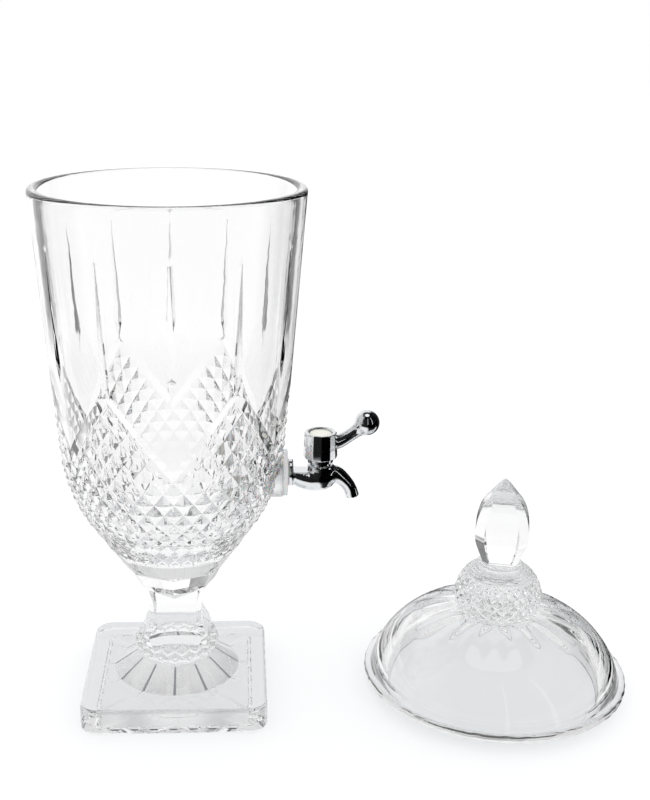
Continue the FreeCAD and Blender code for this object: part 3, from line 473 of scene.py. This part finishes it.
TAP_HEIGHT = 169.5
SEAT, INNER_SEAT, SEAT_RADIUS, SEAT_EDGE, HOLE_RADIUS = 76.8, 66.9, 17.3, 0.4, 6.6
PAST_WALL, INSIDE_BOWL = 95, 40
boss = [(SEAT_RADIUS - SEAT_EDGE, INNER_SEAT), (SEAT_RADIUS, INNER_SEAT + SEAT_EDGE),
        (SEAT_RADIUS, SEAT - SEAT_EDGE), (SEAT_RADIUS - SEAT_EDGE, SEAT)]
seat_centre = np.array([0, 0, TAP_HEIGHT])
FIRE_POLISHED = {"colour": "#fdfdfd", "rough": 0.0, "ripple": 0.15, "ripple_scale": 38.0}
jar_glass = clear_glass("clear_pressed_glass_jar", **FIRE_POLISHED)
ground_glass = clear_glass("ground_glass", "#fafafa", 0.35, 0.08, 900.0)
# The rays' glass is tinted grey, painted shade for the dark lines of the cuts, and is slightly rough
painted_shade_ray_glass = clear_glass("ray_cut_glass_painted_shade", "#a9abae", 0.15, 0.1, 700.0)
jar = piece("jar_pressed_glass", *bowl_skin, jar_glass, "dispenser", "jar_glass", ["jar"], crease=16)
combine(jar, *stem_skin, "UNION")
combine(jar, *foot_skin, "UNION")
combine(jar, *turned(boss, seat_centre, "x"), "UNION")
combine(jar, *turned([(SEAT_RADIUS, SEAT), (SEAT_RADIUS, PAST_WALL)], seat_centre, "x"), "DIFFERENCE")
hole = [(HOLE_RADIUS, INSIDE_BOWL), (HOLE_RADIUS, PAST_WALL)]
combine(jar, *turned(hole, seat_centre, "x", 48), "DIFFERENCE")

# The ground faces are the seats, the outer seat's side and the underside up to the channel. The faces of
# the rays lie below the cone, and they take the grey glass that paints their shade.
OUTER_SIDE, GROUND_HALF, GROUND_TOP = 69, 52.4, 0.31
NEAR_SEAT, NEAR_SIDE, BELOW_CONE = 0.02, 0.3, 0.1
jar.data.materials.clear()
for material in (jar_glass, ground_glass, painted_shade_ray_glass):
    jar.data.materials.append(material)
centres = np.zeros(len(jar.data.polygons) * 3)
jar.data.polygons.foreach_get("center", centres)
x, y, z = centres.reshape(-1, 3).T * 1000
off_hole, off_axis = np.hypot(y, z - TAP_HEIGHT), np.hypot(x, y)
on_seat = (off_hole < SEAT_RADIUS) & (np.minimum(np.abs(x - SEAT), np.abs(x - INNER_SEAT)) < NEAR_SEAT)
on_side = (np.abs(off_hole - SEAT_RADIUS) < NEAR_SIDE) & (x > OUTER_SIDE)
on_floor = (z < GROUND_TOP) & (np.maximum(np.abs(x), np.abs(y)) < GROUND_HALF)
on_cone = (off_axis > CONE_TOP[0] + 1) & (off_axis < CONE_FOOT[0]) & (z > FOOT_TOP)
in_ray = on_cone & (z < cone_height(off_axis) - BELOW_CONE)
material_index = np.where(in_ray, 2, on_seat | on_side | on_floor).astype(np.int32)
jar.data.polygons.foreach_set("material_index", material_index)

# Lid. Clear pressed glass in one piece: a solid square finial that swells and comes to a point, a turned
# band with fine rings and pressed hobnails, a dome with eighteen soft flutes, and a flat brim over the ring
# that drops into the jar's mouth. It stands on the floor beside the jar, turned by 13 degrees.
LID_PLACE, LID_TURN = 237.0, math.radians(-13)
FINIAL = ((163.7, 0.6), (160.0, 3.9), (153.8, 8.3), (148.0, 12.3), (142.7, 15.3), (135.8, 17.6),
          (127.4, 19.1), (122.0, 18.9), (117.0, 18.2), (107.3, 14.8), (100.3, 12.3), (98.6, 12.2))
FINIAL_BEVEL = 0.36
finial_angles = square_angles(math.atan(1 - FINIAL_BEVEL))
rows = []
for z, half in curve_through(FINIAL, 4):
    rows.append(ring_row(bevelled(half, half * FINIAL_BEVEL, finial_angles), z, finial_angles))

# The collar's round, then the band's shoulder with fine turned rings
COLLAR_CENTRE, COLLAR_ROUND = (15.3, 97.4), 1.5
BAND_SHOULDER = ((17.2, 95.6), (20.0, 94.5), (22.6, 92.9), (24.9, 90.6))
TURNED_DEPTH, TURNED_PITCH = 0.3, 7.5
for t in np.radians(np.linspace(90, -60, 9)):
    z = COLLAR_CENTRE[1] + COLLAR_ROUND * math.sin(t)
    rows.append(ring_row(COLLAR_CENTRE[0] + COLLAR_ROUND * math.cos(t), z))
for i, (r, z) in enumerate(curve_through(BAND_SHOULDER, 10)):
    ripple = TURNED_DEPTH * (0.5 - 0.5 * math.cos(2 * math.pi * i / TURNED_PITCH))
    rows.append(ring_row(r - 0.5 * ripple, z - ripple))

# The hobnails: two crossed sets of grooves that leave rows of small rounded studs
BAND = ((24.9, 90.6), (28.5, 86.0), (31.3, 79.5), (32.4, 73.5), (31.5, 67.0), (29.3, 62.5), (27.6, 61.2))
STUD_COLUMNS, STUD_ROWS, STUD_DEPTH, STUD_FADE = 6, 5.6, 1.5, 3
band = curve_through(BAND, 8)
for i, (r, z) in enumerate(band[1:]):
    groove = 1 - 2 * off_groove(columns / STUD_COLUMNS, i / STUD_ROWS)
    fade = min(i / STUD_FADE, (len(band) - 2 - i) / STUD_FADE, 1)
    rows.append(ring_row(r - STUD_DEPTH * groove ** 1.5 * fade, z))

# The dome: an arc about a circle of centres, with flutes that start on the lid's own x axis
DOME_CENTRE, DOME_ARC = (27.0, -7.0), 68.0
FLUTES, FLUTE_DEPTH, FLUTE_PLACE, FLUTE_REACH, FLUTE_EDGE = 18, 1.1, 49.0, 18.0, 1.15
half_flute = COLUMNS // FLUTES // 2
off_flute = np.abs(((columns + half_flute) % (2 * half_flute)) / half_flute - 1)
for t in np.radians(np.linspace(90, 17.1, 40)):
    r, z = DOME_CENTRE[0] + DOME_ARC * math.cos(t), DOME_CENTRE[1] + DOME_ARC * math.sin(t)
    deep = FLUTE_DEPTH * max(1 - ((r - FLUTE_PLACE) / FLUTE_REACH) ** 2, 0)
    hollow = deep * (0.5 + 0.5 * np.cos(math.pi * np.minimum(off_flute * FLUTE_EDGE, 1)))
    rows.append(ring_row(r - hollow * math.cos(t), z - hollow * math.sin(t)))

# The brim, as (radius, height, share of the edge's slight unevenness), the ring under it, and the hollow
BRIM = ((93.4, 13, 0), (95.2, 13, 0.2), (96.1, 12.76, 0.6), (96.74, 12.1, 1), (97, 11.2, 1), (97, 9.8, 1),
        (96.74, 8.9, 1), (96.1, 8.24, 0.6), (95.2, 8, 0.2), (84, 8, 0))
LOCATING_RING = ((83.4, 7.7), (83.2, 7.2), (83.2, 1), (82.9, 0.3), (82.2, 0), (80.5, 0), (79.8, 0.3),
                 (79.5, 1), (79.5, 11))
HOLLOW_CENTRE, HOLLOW_ARC, HOLLOW_TOP = (23.0, -2.0), 58.0, ((14.0, 56.2), (6.0, 56.3))
uneven = 0.14 * (1 + np.cos(angles * 53)) + 0.1 * (1 + np.cos(angles * 31 + 1.0))
rows += [ring_row(r - uneven * share, z) for r, z, share in BRIM]
rows += [ring_row(r, z) for r, z in LOCATING_RING]
for t in np.radians(np.linspace(14, 92, 30)):
    z = HOLLOW_CENTRE[1] + HOLLOW_ARC * math.sin(t)
    rows.append(ring_row(HOLLOW_CENTRE[0] + HOLLOW_ARC * math.cos(t), z))
rows += [ring_row(r, z) for r, z in HOLLOW_TOP]
points, faces = closed_skin(rows)
lid_cos, lid_sin = math.cos(LID_TURN), math.sin(LID_TURN)
points = points @ np.array([[lid_cos, lid_sin, 0], [-lid_sin, lid_cos, 0], [0, 0, 1]])
points = points + np.array([LID_PLACE, 0, 0])
lid_glass = clear_glass("clear_pressed_glass_lid", **FIRE_POLISHED)
piece("lid_pressed_glass", points, faces, lid_glass, "lid", "lid_glass", ["lid"], crease=20)

# Tap, body. Cast brass under bright chrome: a threaded shank with a round flange, a swelling barrel with the
# valve's neck across it, and a spout that bends down. The finish is a mirror with the faint unevenness of a
# polished casting. Barrel and spout are (x, height, radius) stations.
VALVE = 103.4
BARREL = ((83.3, 169.5, 6.6), (91.3, 166.4, 8.4), (98.3, 165.1, 9.1), (104.4, 165.3, 8.8))
BARREL_START, BARREL_TOP = 82.0, 171.6
SPOUT = ((102.4, 166.3, 8.4), (109.5, 168.0, 6.9), (115.6, 167.4, 5.9), (121.8, 162.0, 4.95),
         (125.1, 156.9, 4.75), (126.8, 151.4, 4.94))
SPOUT_TIP, SPOUT_FALL = np.array([126.8, 0, 151.4]), math.radians(80)
MOUTH_RADIUS, MOUTH_DEPTH, MOUTH_PAST = 3.0, 7, 3
SHANK_START, SHANK_END, SHANK_RADIUS = 50, 84, 6.0
THREAD_PITCH, THREAD_DEPTH, THREAD_END = 1.4, 0.5, 66
FLANGE_PLACE, FLANGE_RADIUS, FLANGE_HALF, FLANGE_ROUND = 82.3, 8.5, 0.9, 1.1
NECK_RADIUS, NECK_BOTTOM, NECK_TOP = 9.0, 160.5, 175.6
EDGE_FILLET, MOUTH_FILLET, NECK_FILLET, SPOUT_FILLET = 0.8, 0.5, 1.6, 2.2


def blended(a, b, width):
    """The lower of two distances, with a fillet of about that width where they meet."""
    h = np.clip(0.5 + 0.5 * (b - a) / width, 0, 1)
    return b + (a - b) * h - width * h * (1 - h)


def along_chain(points, chain):
    """Distance from points to a tube through (x, z, radius) stations in the plane y = 0."""
    nearest = np.full(points.shape[:-1], 1e9)
    for (x0, z0, r0), (x1, z1, r1) in zip(chain[:-1], chain[1:]):
        start, run = np.array([x0, 0, z0]), np.array([x1 - x0, 0, z1 - z0])
        t = np.clip((points - start) @ run / (run @ run), 0, 1)
        off_run = np.linalg.norm(points - start - t[..., None] * run, axis=-1)
        nearest = np.minimum(nearest, off_run - (r0 + t * (r1 - r0)))
    return nearest


def skin_of(distance, low, high, cell):
    """Points and faces of the surface where a distance function is zero: one point to each cell it crosses,
    evened out and moved onto the surface by point - distance * slope / |slope| ** 2."""
    axes = [np.arange(a, b + cell, cell) for a, b in zip(low, high)]
    solid = distance(np.stack(np.meshgrid(*axes, indexing="ij"), -1)) < 0
    cells = np.array(solid.shape) - 1
    corners = [(i, j, k) for i in (0, 1) for j in (0, 1) for k in (0, 1)]
    count = sum(solid[i:i + cells[0], j:j + cells[1], k:k + cells[2]].astype(int) for i, j, k in corners)
    crossed = (count > 0) & (count < 8)
    index = np.full(count.shape, -1)
    index[crossed] = np.arange(crossed.sum())
    points = np.array(low) + (np.argwhere(crossed) + 0.5) * cell
    quads = []
    for axis in range(3):
        u, v = [a for a in range(3) if a != axis]
        first = np.take(solid, np.arange(solid.shape[axis] - 1), axis)
        second = np.take(solid, np.arange(1, solid.shape[axis]), axis)
        place = np.argwhere(first != second)
        step_u, step_v = np.eye(3, dtype=int)[u], np.eye(3, dtype=int)[v]
        steps = (step_u * 0, step_u, step_u + step_v, step_v)
        face = np.stack([index[tuple((place - step).T)] for step in steps], -1)
        flipped = first[tuple(place.T)] != (axis == 1)
        quads.append(np.where(flipped[:, None], face[:, ::-1], face))
    quads = np.concatenate(quads)
    pairs = np.concatenate([quads[:, [0, 1]], quads[:, [1, 2]], quads[:, [2, 3]], quads[:, [3, 0]]])
    nudge, flattest, kept = 0.01, 0.05, 0.4
    for pass_number in range(8):
        slope = np.stack([(distance(points + step) - distance(points - step)) / (2 * nudge)
                          for step in np.eye(3) * nudge], -1)
        steepness = np.maximum((slope ** 2).sum(-1, keepdims=True), flattest)
        points = points - distance(points)[:, None] * slope / steepness
        if 1 <= pass_number <= 4:
            total, share = np.zeros_like(points), np.zeros(len(points))
            np.add.at(total, pairs[:, 0], points[pairs[:, 1]])
            np.add.at(share, pairs[:, 0], 1)
            points = points * kept + (1 - kept) * total / share[:, None]
    return points, quads


barrel, spout = curve_through(BARREL, 4), curve_through(SPOUT, 6)
fall = np.array([math.cos(SPOUT_FALL), 0, -math.sin(SPOUT_FALL)])


def tap_distance(points):
    """Distance to the cast tap: threaded shank, flange, barrel, neck and spout, joined with fillets."""
    x, y, z = points[..., 0], points[..., 1], points[..., 2]
    off = np.hypot(y, z - TAP_HEIGHT)
    lead = np.arctan2(z - TAP_HEIGHT, y) / (2 * math.pi)
    thread = np.abs((x / THREAD_PITCH + lead) % 1 - 0.5) * 2
    shank = off - SHANK_RADIUS + THREAD_DEPTH * thread * (x < THREAD_END)
    shank = np.maximum(np.maximum(shank, SHANK_START - x), x - SHANK_END)
    flange_side = np.maximum(np.abs(x - FLANGE_PLACE) - FLANGE_HALF, 0)
    flange = np.hypot(np.maximum(off - FLANGE_RADIUS, 0), flange_side) - FLANGE_ROUND
    neck = np.maximum(np.hypot(x - VALVE, y) - NECK_RADIUS, np.maximum(z - NECK_TOP, NECK_BOTTOM - z))
    drawn = np.maximum(along_chain(points, spout), (points - SPOUT_TIP) @ fall)
    round_barrel = -blended(-along_chain(points, barrel), BARREL_TOP - z, EDGE_FILLET)
    whole = blended(blended(round_barrel, neck, NECK_FILLET), drawn, SPOUT_FILLET)
    whole = blended(np.maximum(whole, BARREL_START - x), flange, EDGE_FILLET)
    along = np.clip((points - SPOUT_TIP) @ fall, -MOUTH_DEPTH, MOUTH_PAST)
    mouth = np.linalg.norm(points - SPOUT_TIP - along[..., None] * fall, axis=-1) - MOUTH_RADIUS
    return -blended(-np.minimum(whole, shank), mouth, MOUTH_FILLET)


def polished_chrome(name, scale):
    """Bright chrome over polished metal: a pale mirror, with a faint unevenness of that scale."""
    material, tree, out = new_material(name)
    noise = object_noise(tree, scale, 3.0)
    rough = node(tree, "ShaderNodeMapRange", {"Value": (noise, "Fac"), "To Min": 0.03, "To Max": 0.075})
    bump = uneven_normal(tree, noise, 0.05, 0.0006)
    shader = node(tree, "ShaderNodeBsdfPrincipled", {
        "Base Color": linear("#e3e5e7"), "Metallic": 1.0, "Roughness": (rough, "Result"),
        "Normal": (bump, "Normal")})
    tree.links.new(shader.outputs[0], out.inputs["Surface"])
    return material


body_chrome = polished_chrome("polished_chrome_tap_body", 160.0)
tap_skin = skin_of(tap_distance, (49, -11, 149), (133, 11, 181), 0.7)
piece("tap_body_chrome", *tap_skin, body_chrome, "dispenser", "tap_chrome", ["tap_body"], crease=40)

# Tap, lever. Cast and chromed like the body: a twelve-sided cap that turns the valve, sunk in its top for the
# button, and an arm that rises from it to a ball. The cap's rows are (radius, height, how far its outline
# goes from round to twelve-sided).
CAP = ((2.0, 196.1, 0), (8.2, 196.1, 0), (8.25, 199.2, 0), (8.6, 199.65, 0.2), (9.4, 199.9, 0.5),
       (10.6, 200.0, 1), (11.2, 199.85, 1), (11.5, 199.4, 1), (11.85, 191.5, 1), (12.15, 182.6, 1),
       (12.1, 181.9, 1), (11.6, 181.5, 1), (6.0, 181.5, 0))
CAP_SIDES, CAP_CORNER = 12, 0.9925
ARM = ((108.5, 192.2, 5.3), (112.5, 192.1, 5.2), (116.2, 192.8, 5.0), (122.9, 196.6, 4.5),
       (129.3, 201.4, 4.8), (135.9, 206.6, 5.0))
BALL, BALL_RADIUS, BALL_FILLET = np.array([135.9, 0, 206.6]), 8.8, 2.4
valve_axis = np.array([VALVE, 0, 0])
side_columns = COLUMNS // CAP_SIDES
side_turn = (columns % side_columns - side_columns // 2) / side_columns * (2 * math.pi / CAP_SIDES)
twelve_sided = np.minimum(math.cos(math.pi / CAP_SIDES) / np.cos(side_turn), CAP_CORNER)
points, faces = closed_skin([ring_row(r * (1 + (twelve_sided - 1) * share), z) for r, z, share in CAP])
lever_chrome = polished_chrome("polished_chrome_lever", 160.0)
piece("lever_cap_chrome", points + valve_axis, faces, lever_chrome, "lever", "tap_chrome", ["lever_handle"],
      crease=12)
arm = curve_through(ARM, 5)


def arm_distance(points):
    """Distance to the lever's arm and its ball, joined with a fillet."""
    off_ball = np.linalg.norm(points - BALL, axis=-1) - BALL_RADIUS
    return blended(along_chain(points, arm), off_ball, BALL_FILLET)


arm_skin = skin_of(arm_distance, (102, -9, 186), (145, 9, 217), 0.6)
piece("lever_arm_chrome", *arm_skin, lever_chrome, "lever", "tap_chrome", ["lever_handle"], crease=50)

# Tap, button. A plain ivory moulded disc that covers the screw in the cap's top, with a shallow turned
# groove. The moulding gives it a satin skin with very fine grain.
BUTTON = ((2.5, 199.0), (5.8, 198.9), (6.4, 198.5), (7.0, 198.9), (7.6, 198.8), (8.1, 198.2), (8.1, 196.4),
          (7.9, 196.2), (3, 196.2))


def moulded_plastic(name, colour):
    """Satin moulded plastic with a very fine grain."""
    material, tree, out = new_material(name)
    bump = uneven_normal(tree, object_noise(tree, 900.0, 2.0), 0.12, 0.0002)
    shader = node(tree, "ShaderNodeBsdfPrincipled", {"Base Color": linear(colour), "Roughness": 0.3,
                                                     "Normal": (bump, "Normal")})
    tree.links.new(shader.outputs[0], out.inputs["Surface"])
    return material


button_plastic = moulded_plastic("ivory_moulded_button", "#f1efe6")
piece("top_button_moulded", *turned(BUTTON, valve_axis, "z"), button_plastic, "lever", "button_plastic",
      ["top_button"], crease=30)

# Tap, seals. Two soft rings of milky silicone between the tap and the glass, outside and inside the wall.
# Light goes into them and scatters, which makes them look like frosted glass.
# Each is (name, outside radius, start and end along the shank, rounding).
SEAL_BORE, OUTER_THICKNESS = 6.3, 3.45
SEALS = (("outer_seal", 16.5, SEAT, SEAT + OUTER_THICKNESS, 0.9), ("inner_seal", 15.0, 64.0, 67.0, 0.8))


def turned_ring(profile, centre, axis, sides=96):
    """Points and faces of a turned ring, whose profile is a closed outline."""
    points = turned_rows(profile, centre, axis, sides).reshape(-1, 3)
    r, s = np.meshgrid(np.arange(len(profile)), np.arange(sides), indexing="ij")
    after, next_side = (r + 1) % len(profile), (s + 1) % sides
    quads = np.stack([r * sides + s, r * sides + next_side, after * sides + next_side, after * sides + s], -1)
    return points, quads.reshape(-1, 4)


def rounded_section(low, high, start, end, rounding):
    """A ring's section from radius low to high and place start to end: a rectangle with rounded corners."""
    corners = [(high - rounding, end - rounding, 0), (low + rounding, end - rounding, 90),
               (low + rounding, start + rounding, 180), (high - rounding, start + rounding, 270)]
    return [(x + rounding * math.cos(t), y + rounding * math.sin(t))
            for x, y, first in corners for t in np.radians(np.linspace(first, first + 90, 5))]


def milky_silicone(name):
    """Milky silicone: light scatters in it, a little passes through, and its tint is faintly cloudy."""
    material, tree, out = new_material(name)
    noise = object_noise(tree, 300.0, 3.0)
    tint = node(tree, "ShaderNodeMix", {0: (noise, "Fac"), 6: linear("#ececec"), 7: linear("#f6f6f6")},
                data_type="RGBA")
    shader = node(tree, "ShaderNodeBsdfPrincipled", {
        "Base Color": (tint, 2), "Roughness": 0.45, "Transmission Weight": 0.35, "IOR": 1.41,
        "Subsurface Weight": 0.5, "Subsurface Scale": 0.004})
    tree.links.new(shader.outputs[0], out.inputs["Surface"])
    return material


silicone = milky_silicone("milky_silicone")
for name, outer, start, end, rounding in SEALS:
    seal = turned_ring(rounded_section(SEAL_BORE, outer, start, end, rounding), seat_centre, "x")
    piece(name + "_ring", *seal, silicone, "dispenser", "silicone", [name], crease=50)


# Tap, valve and clamp. The small turned and stamped parts keep their solids: brass plug, rubber rings,
# plastic slip washer, stainless screw, pin and washer, and bright nuts. Each has the marks of its making.
def worked(name, colour, metallic, rough, scale, stretch, strength):
    """A finish with fine marks: scale of the noise, its stretch along each axis, and how deep it goes."""
    material, tree, out = new_material(name)
    coords = node(tree, "ShaderNodeTexCoord")
    place = node(tree, "ShaderNodeMapping", {"Vector": (coords, "Object"), "Scale": stretch})
    noise = node(tree, "ShaderNodeTexNoise", {"Vector": (place, "Vector"), "Scale": scale, "Detail": 4.0})
    roughness = node(tree, "ShaderNodeMapRange", {"Value": (noise, "Fac"), "To Min": rough * 0.8,
                                                  "To Max": rough * 1.2})
    bump = uneven_normal(tree, noise, strength, 0.0003)
    shader = node(tree, "ShaderNodeBsdfPrincipled", {
        "Base Color": linear(colour), "Metallic": metallic, "Roughness": (roughness, "Result"),
        "Normal": (bump, "Normal")})
    tree.links.new(shader.outputs[0], out.inputs["Surface"])
    return material


finishes = {
    "bonnet_nut": polished_chrome("polished_chrome_nuts", 240.0),
    "lock_nut": worked("bright_nickelled_nut", "#d5d3cc", 1.0, 0.2, 500.0, (1, 1, 1), 0.15),
    "shank_washer": worked("brushed_stainless_washer", "#c9cbcd", 1.0, 0.28, 300.0, (6, 1, 1), 0.25),
    "stop_pin": worked("drawn_stainless_pin", "#c2c4c6", 1.0, 0.3, 900.0, (1, 1, 0.1), 0.2),
    "handle_screw": worked("turned_stainless_screw", "#c6c8ca", 1.0, 0.25, 700.0, (1, 1, 0.3), 0.2),
    "valve_plug": worked("turned_brass_plug", "#c9a76a", 1.0, 0.26, 600.0, (1, 1, 5), 0.25),
    "plug_seal_lower": worked("black_rubber_ring_lower", "#1b1b1c", 0.0, 0.55, 1200.0, (1, 1, 1), 0.2),
    "plug_seal_upper": worked("black_rubber_ring_upper", "#1b1b1c", 0.0, 0.55, 1200.0, (1, 1, 1), 0.2),
    "thrust_washer": worked("white_slip_plastic", "#ecebe6", 0.0, 0.4, 800.0, (1, 1, 1), 0.1),
}
for name, material in finishes.items():
    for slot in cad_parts[name].material_slots:
        slot.material = material

# Floor and studio. A white sweep under plain white light. Glass shows dark cards at both sides and overhead,
# and chrome shows a room that is white behind it and dark in front. Each list is (angle from straight back,
# level), and serves the floor and what stands above it.
THROUGH_GLASS = ((0, 1.08), (31, 1.06), (37, 0.16), (68, 0.16), (80, 0.85), (100, 0.85), (115, 0.7),
                 (180, 0.65))
IN_CHROME = ((0, 1.0), (60, 1.0), (80, 0.6), (100, 0.03), (180, 0.012))
CHROME_TURN = 20
MIDDLE = (-0.03, 0, 0)
WHITE = (1, 1, 1, 1)


def sloped(tree, source, low, high, at_low=0.0, at_high=1.0):
    """A value that goes from at_low to at_high while its source goes from low to high."""
    return node(tree, "ShaderNodeMapRange", {"Value": source, "From Min": low, "From Max": high,
                                             "To Min": at_low, "To Max": at_high})


def mixed_colour(tree, share, a, b, blend_type="MIX"):
    """A mix of two colours, a at share 0 and b at share 1."""
    return node(tree, "ShaderNodeMix", {0: share, 6: a, 7: b}, data_type="RGBA", blend_type=blend_type)


def level_round(tree, vector, stops, turn):
    """Grey level by direction round the table, from a list of stops that is turned to the left. Returns the
    split vector and the level."""
    split = node(tree, "ShaderNodeSeparateXYZ", {"Vector": vector})
    flat = node(tree, "ShaderNodeCombineXYZ", {"X": (split, "X"), "Y": (split, "Y")})
    even = node(tree, "ShaderNodeVectorMath", {0: (flat, "Vector")}, operation="NORMALIZE")
    straight = (-math.sin(math.radians(turn)), math.cos(math.radians(turn)), 0)
    back = node(tree, "ShaderNodeVectorMath", {0: (even, "Vector"), 1: straight}, operation="DOT_PRODUCT")
    ramp = node(tree, "ShaderNodeValToRGB", {"Fac": (sloped(tree, (back, "Value"), -1.0, 1.0), "Result")})
    places = sorted((0.5 + 0.5 * math.cos(math.radians(angle)), level) for angle, level in stops)
    elements = ramp.color_ramp.elements
    elements.remove(elements[1])
    for i, (place, level) in enumerate(places):
        element = elements[0] if i == 0 else elements.new(place)
        element.position, element.color = place, (level, level, level, 1)
    return split, ramp


def white_sweep(name):
    """The floor: white to the eye. Beyond its middle it takes the levels round it, and in chrome it is dark
    on the right as well."""
    material, tree, out = new_material(name)
    coords = node(tree, "ShaderNodeTexCoord")
    path = node(tree, "ShaderNodeLightPath")
    middle = node(tree, "ShaderNodeVectorMath", {0: (coords, "Object"), 1: MIDDLE}, operation="SUBTRACT")
    distance = node(tree, "ShaderNodeVectorMath", {0: (middle, "Vector")}, operation="LENGTH")
    levels = []
    for stops, turn, near, far in ((THROUGH_GLASS, 0, 0.8, 1.0), (IN_CHROME, CHROME_TURN, 0.3, 0.45)):
        split, ramp = level_round(tree, (middle, "Vector"), stops, turn)
        beyond = sloped(tree, (distance, "Value"), near, far)
        levels.append(mixed_colour(tree, (beyond, "Result"), WHITE, (ramp, "Color")))
    dark_right = sloped(tree, (split, "X"), 0.16, 0.22, 1.0, 0.03)
    in_chrome = mixed_colour(tree, 1.0, (levels[1], 2), (dark_right, "Result"), "MULTIPLY")
    seen = mixed_colour(tree, (path, "Is Glossy Ray"), WHITE, (in_chrome, 2))
    seen = mixed_colour(tree, (path, "Is Transmission Ray"), (seen, 2), (levels[0], 2))
    white = mixed_colour(tree, 1.0, linear("#f7f7f7"), (seen, 2), "MULTIPLY")
    surface = node(tree, "ShaderNodeBsdfDiffuse", {"Color": (white, 2)})
    tree.links.new(surface.outputs[0], out.inputs["Surface"])
    return material


def level_through_glass(tree, direction):
    """What glass lets through: the levels round the table, an even grey above them, and black overhead."""
    split, ramp = level_round(tree, direction, THROUGH_GLASS, 0)
    higher = sloped(tree, (split, "Z"), 0.22, 0.36)
    overhead = sloped(tree, (split, "Z"), 0.8, 0.87, 0.8, 0.1)
    return mixed_colour(tree, (higher, "Result"), (ramp, "Color"), (overhead, "Result"))


def level_in_chrome(tree, direction):
    """What chrome mirrors: white behind it, black in front, above and on the right, a grey card on the left,
    a lamp overhead and two upright strips of light in front, each at (angle, half its width) in degrees."""
    split, ramp = level_round(tree, direction, IN_CHROME, CHROME_TURN)
    low = sloped(tree, (split, "Z"), 0.7, 0.8, 1.0, 0.03)
    dark_right = sloped(tree, (split, "X"), 0.2, 0.4, 1.0, 0.02)
    grey_left = sloped(tree, (split, "X"), -0.6, -0.85, 0.0, 0.5)
    lamp = sloped(tree, (split, "Z"), 0.955, 0.965, 0.0, 1.2)
    mirror = calculated(tree, "MULTIPLY", (ramp, "Color"), (low, "Result"))
    mirror = calculated(tree, "MULTIPLY", (mirror, "Value"), (dark_right, "Result"))
    mirror = calculated(tree, "MAXIMUM", (mirror, "Value"), (grey_left, "Result"))
    mirror = calculated(tree, "MAXIMUM", (mirror, "Value"), (lamp, "Result"))
    ahead = calculated(tree, "MULTIPLY", (split, "Y"), -1.0)
    bearing = calculated(tree, "ARCTAN2", (split, "X"), (ahead, "Value"))
    not_high = calculated(tree, "LESS_THAN", (split, "Z"), 0.85)
    for degrees, half in ((3, 1.3), (46, 2.2)):
        strip = calculated(tree, "COMPARE", (bearing, "Value"), math.radians(degrees), math.radians(half))
        strip = calculated(tree, "MULTIPLY", (strip, "Value"), (not_high, "Value"))
        mirror = calculated(tree, "MAXIMUM", (mirror, "Value"), (strip, "Value"))
    return mirror


floor_mesh = bpy.data.meshes.new("floor")
floor_mesh.from_pydata([(-6, -6, 0), (6, -6, 0), (6, 6, 0), (-6, 6, 0)], [], [(0, 1, 2, 3)])
floor_mesh.materials.append(white_sweep("white_sweep"))
floor = bpy.data.objects.new("floor", floor_mesh)
scene.collection.objects.link(floor)
floor.location.z = -0.0002

# The world is plain white light, with levels of its own for what chrome, glass and the lens see
studio = bpy.data.worlds.new("studio")
scene.world = studio
studio.use_nodes = True
tree = studio.node_tree
tree.nodes.clear()
out = node(tree, "ShaderNodeOutputWorld")
coords = node(tree, "ShaderNodeTexCoord")
path = node(tree, "ShaderNodeLightPath")
through_glass = (level_through_glass(tree, (coords, "Generated")), 2)
in_chrome = (level_in_chrome(tree, (coords, "Generated")), "Value")
lit, seen_in_chrome, seen_through_glass, backdrop = [
    node(tree, "ShaderNodeBackground", {"Color": linear("#ffffff"), "Strength": strength})
    for strength in (1.15, in_chrome, through_glass, 1.0)]
world = lit
for rays, level in (("Is Glossy Ray", seen_in_chrome), ("Is Transmission Ray", seen_through_glass),
                    ("Is Camera Ray", backdrop)):
    world = node(tree, "ShaderNodeMixShader", {0: (path, rays), 1: (world, 0), 2: (level, 0)})
tree.links.new(world.outputs[0], out.inputs["Surface"])

# Camera, set to the photograph's view. The focal length and the picture's centre are in its pixels.
FOCAL, CENTRE_U, CENTRE_V = 1228.0, 293.0, 396.0
WIDTH, HEIGHT = 650.0, 800.0
SENSOR = 36
EYE = (0.0458, -0.8117, 0.4888)
pitch, yaw, roll = math.radians(17.90), math.radians(2.67), math.radians(0.69)
forward = Vector((math.sin(yaw) * math.cos(pitch), math.cos(yaw) * math.cos(pitch), -math.sin(pitch)))
level = Vector((math.cos(yaw), -math.sin(yaw), 0))
steep = level.cross(forward)
right = level * math.cos(roll) + steep * math.sin(roll)
upward = right.cross(forward)
camera_data = bpy.data.cameras.new("camera")
camera = bpy.data.objects.new("camera", camera_data)
scene.collection.objects.link(camera)
camera.matrix_world = Matrix((
    (right.x, upward.x, -forward.x, EYE[0]),
    (right.y, upward.y, -forward.y, EYE[1]),
    (right.z, upward.z, -forward.z, EYE[2]),
    (0, 0, 0, 1),
))
camera_data.sensor_fit = "AUTO"
camera_data.sensor_width = SENSOR
camera_data.lens = FOCAL * SENSOR / HEIGHT
camera_data.shift_x = (WIDTH / 2 - CENTRE_U) / HEIGHT
camera_data.shift_y = (CENTRE_V - HEIGHT / 2) / HEIGHT
camera_data.clip_start = 0.05
scene.camera = camera

# Light goes through many glass skins, so its paths are long
BOUNCES = 24
scene.cycles.max_bounces = BOUNCES
scene.cycles.transmission_bounces = BOUNCES
scene.cycles.transparent_max_bounces = BOUNCES
scene.cycles.glossy_bounces = 10
scene.view_settings.view_transform = "Standard"
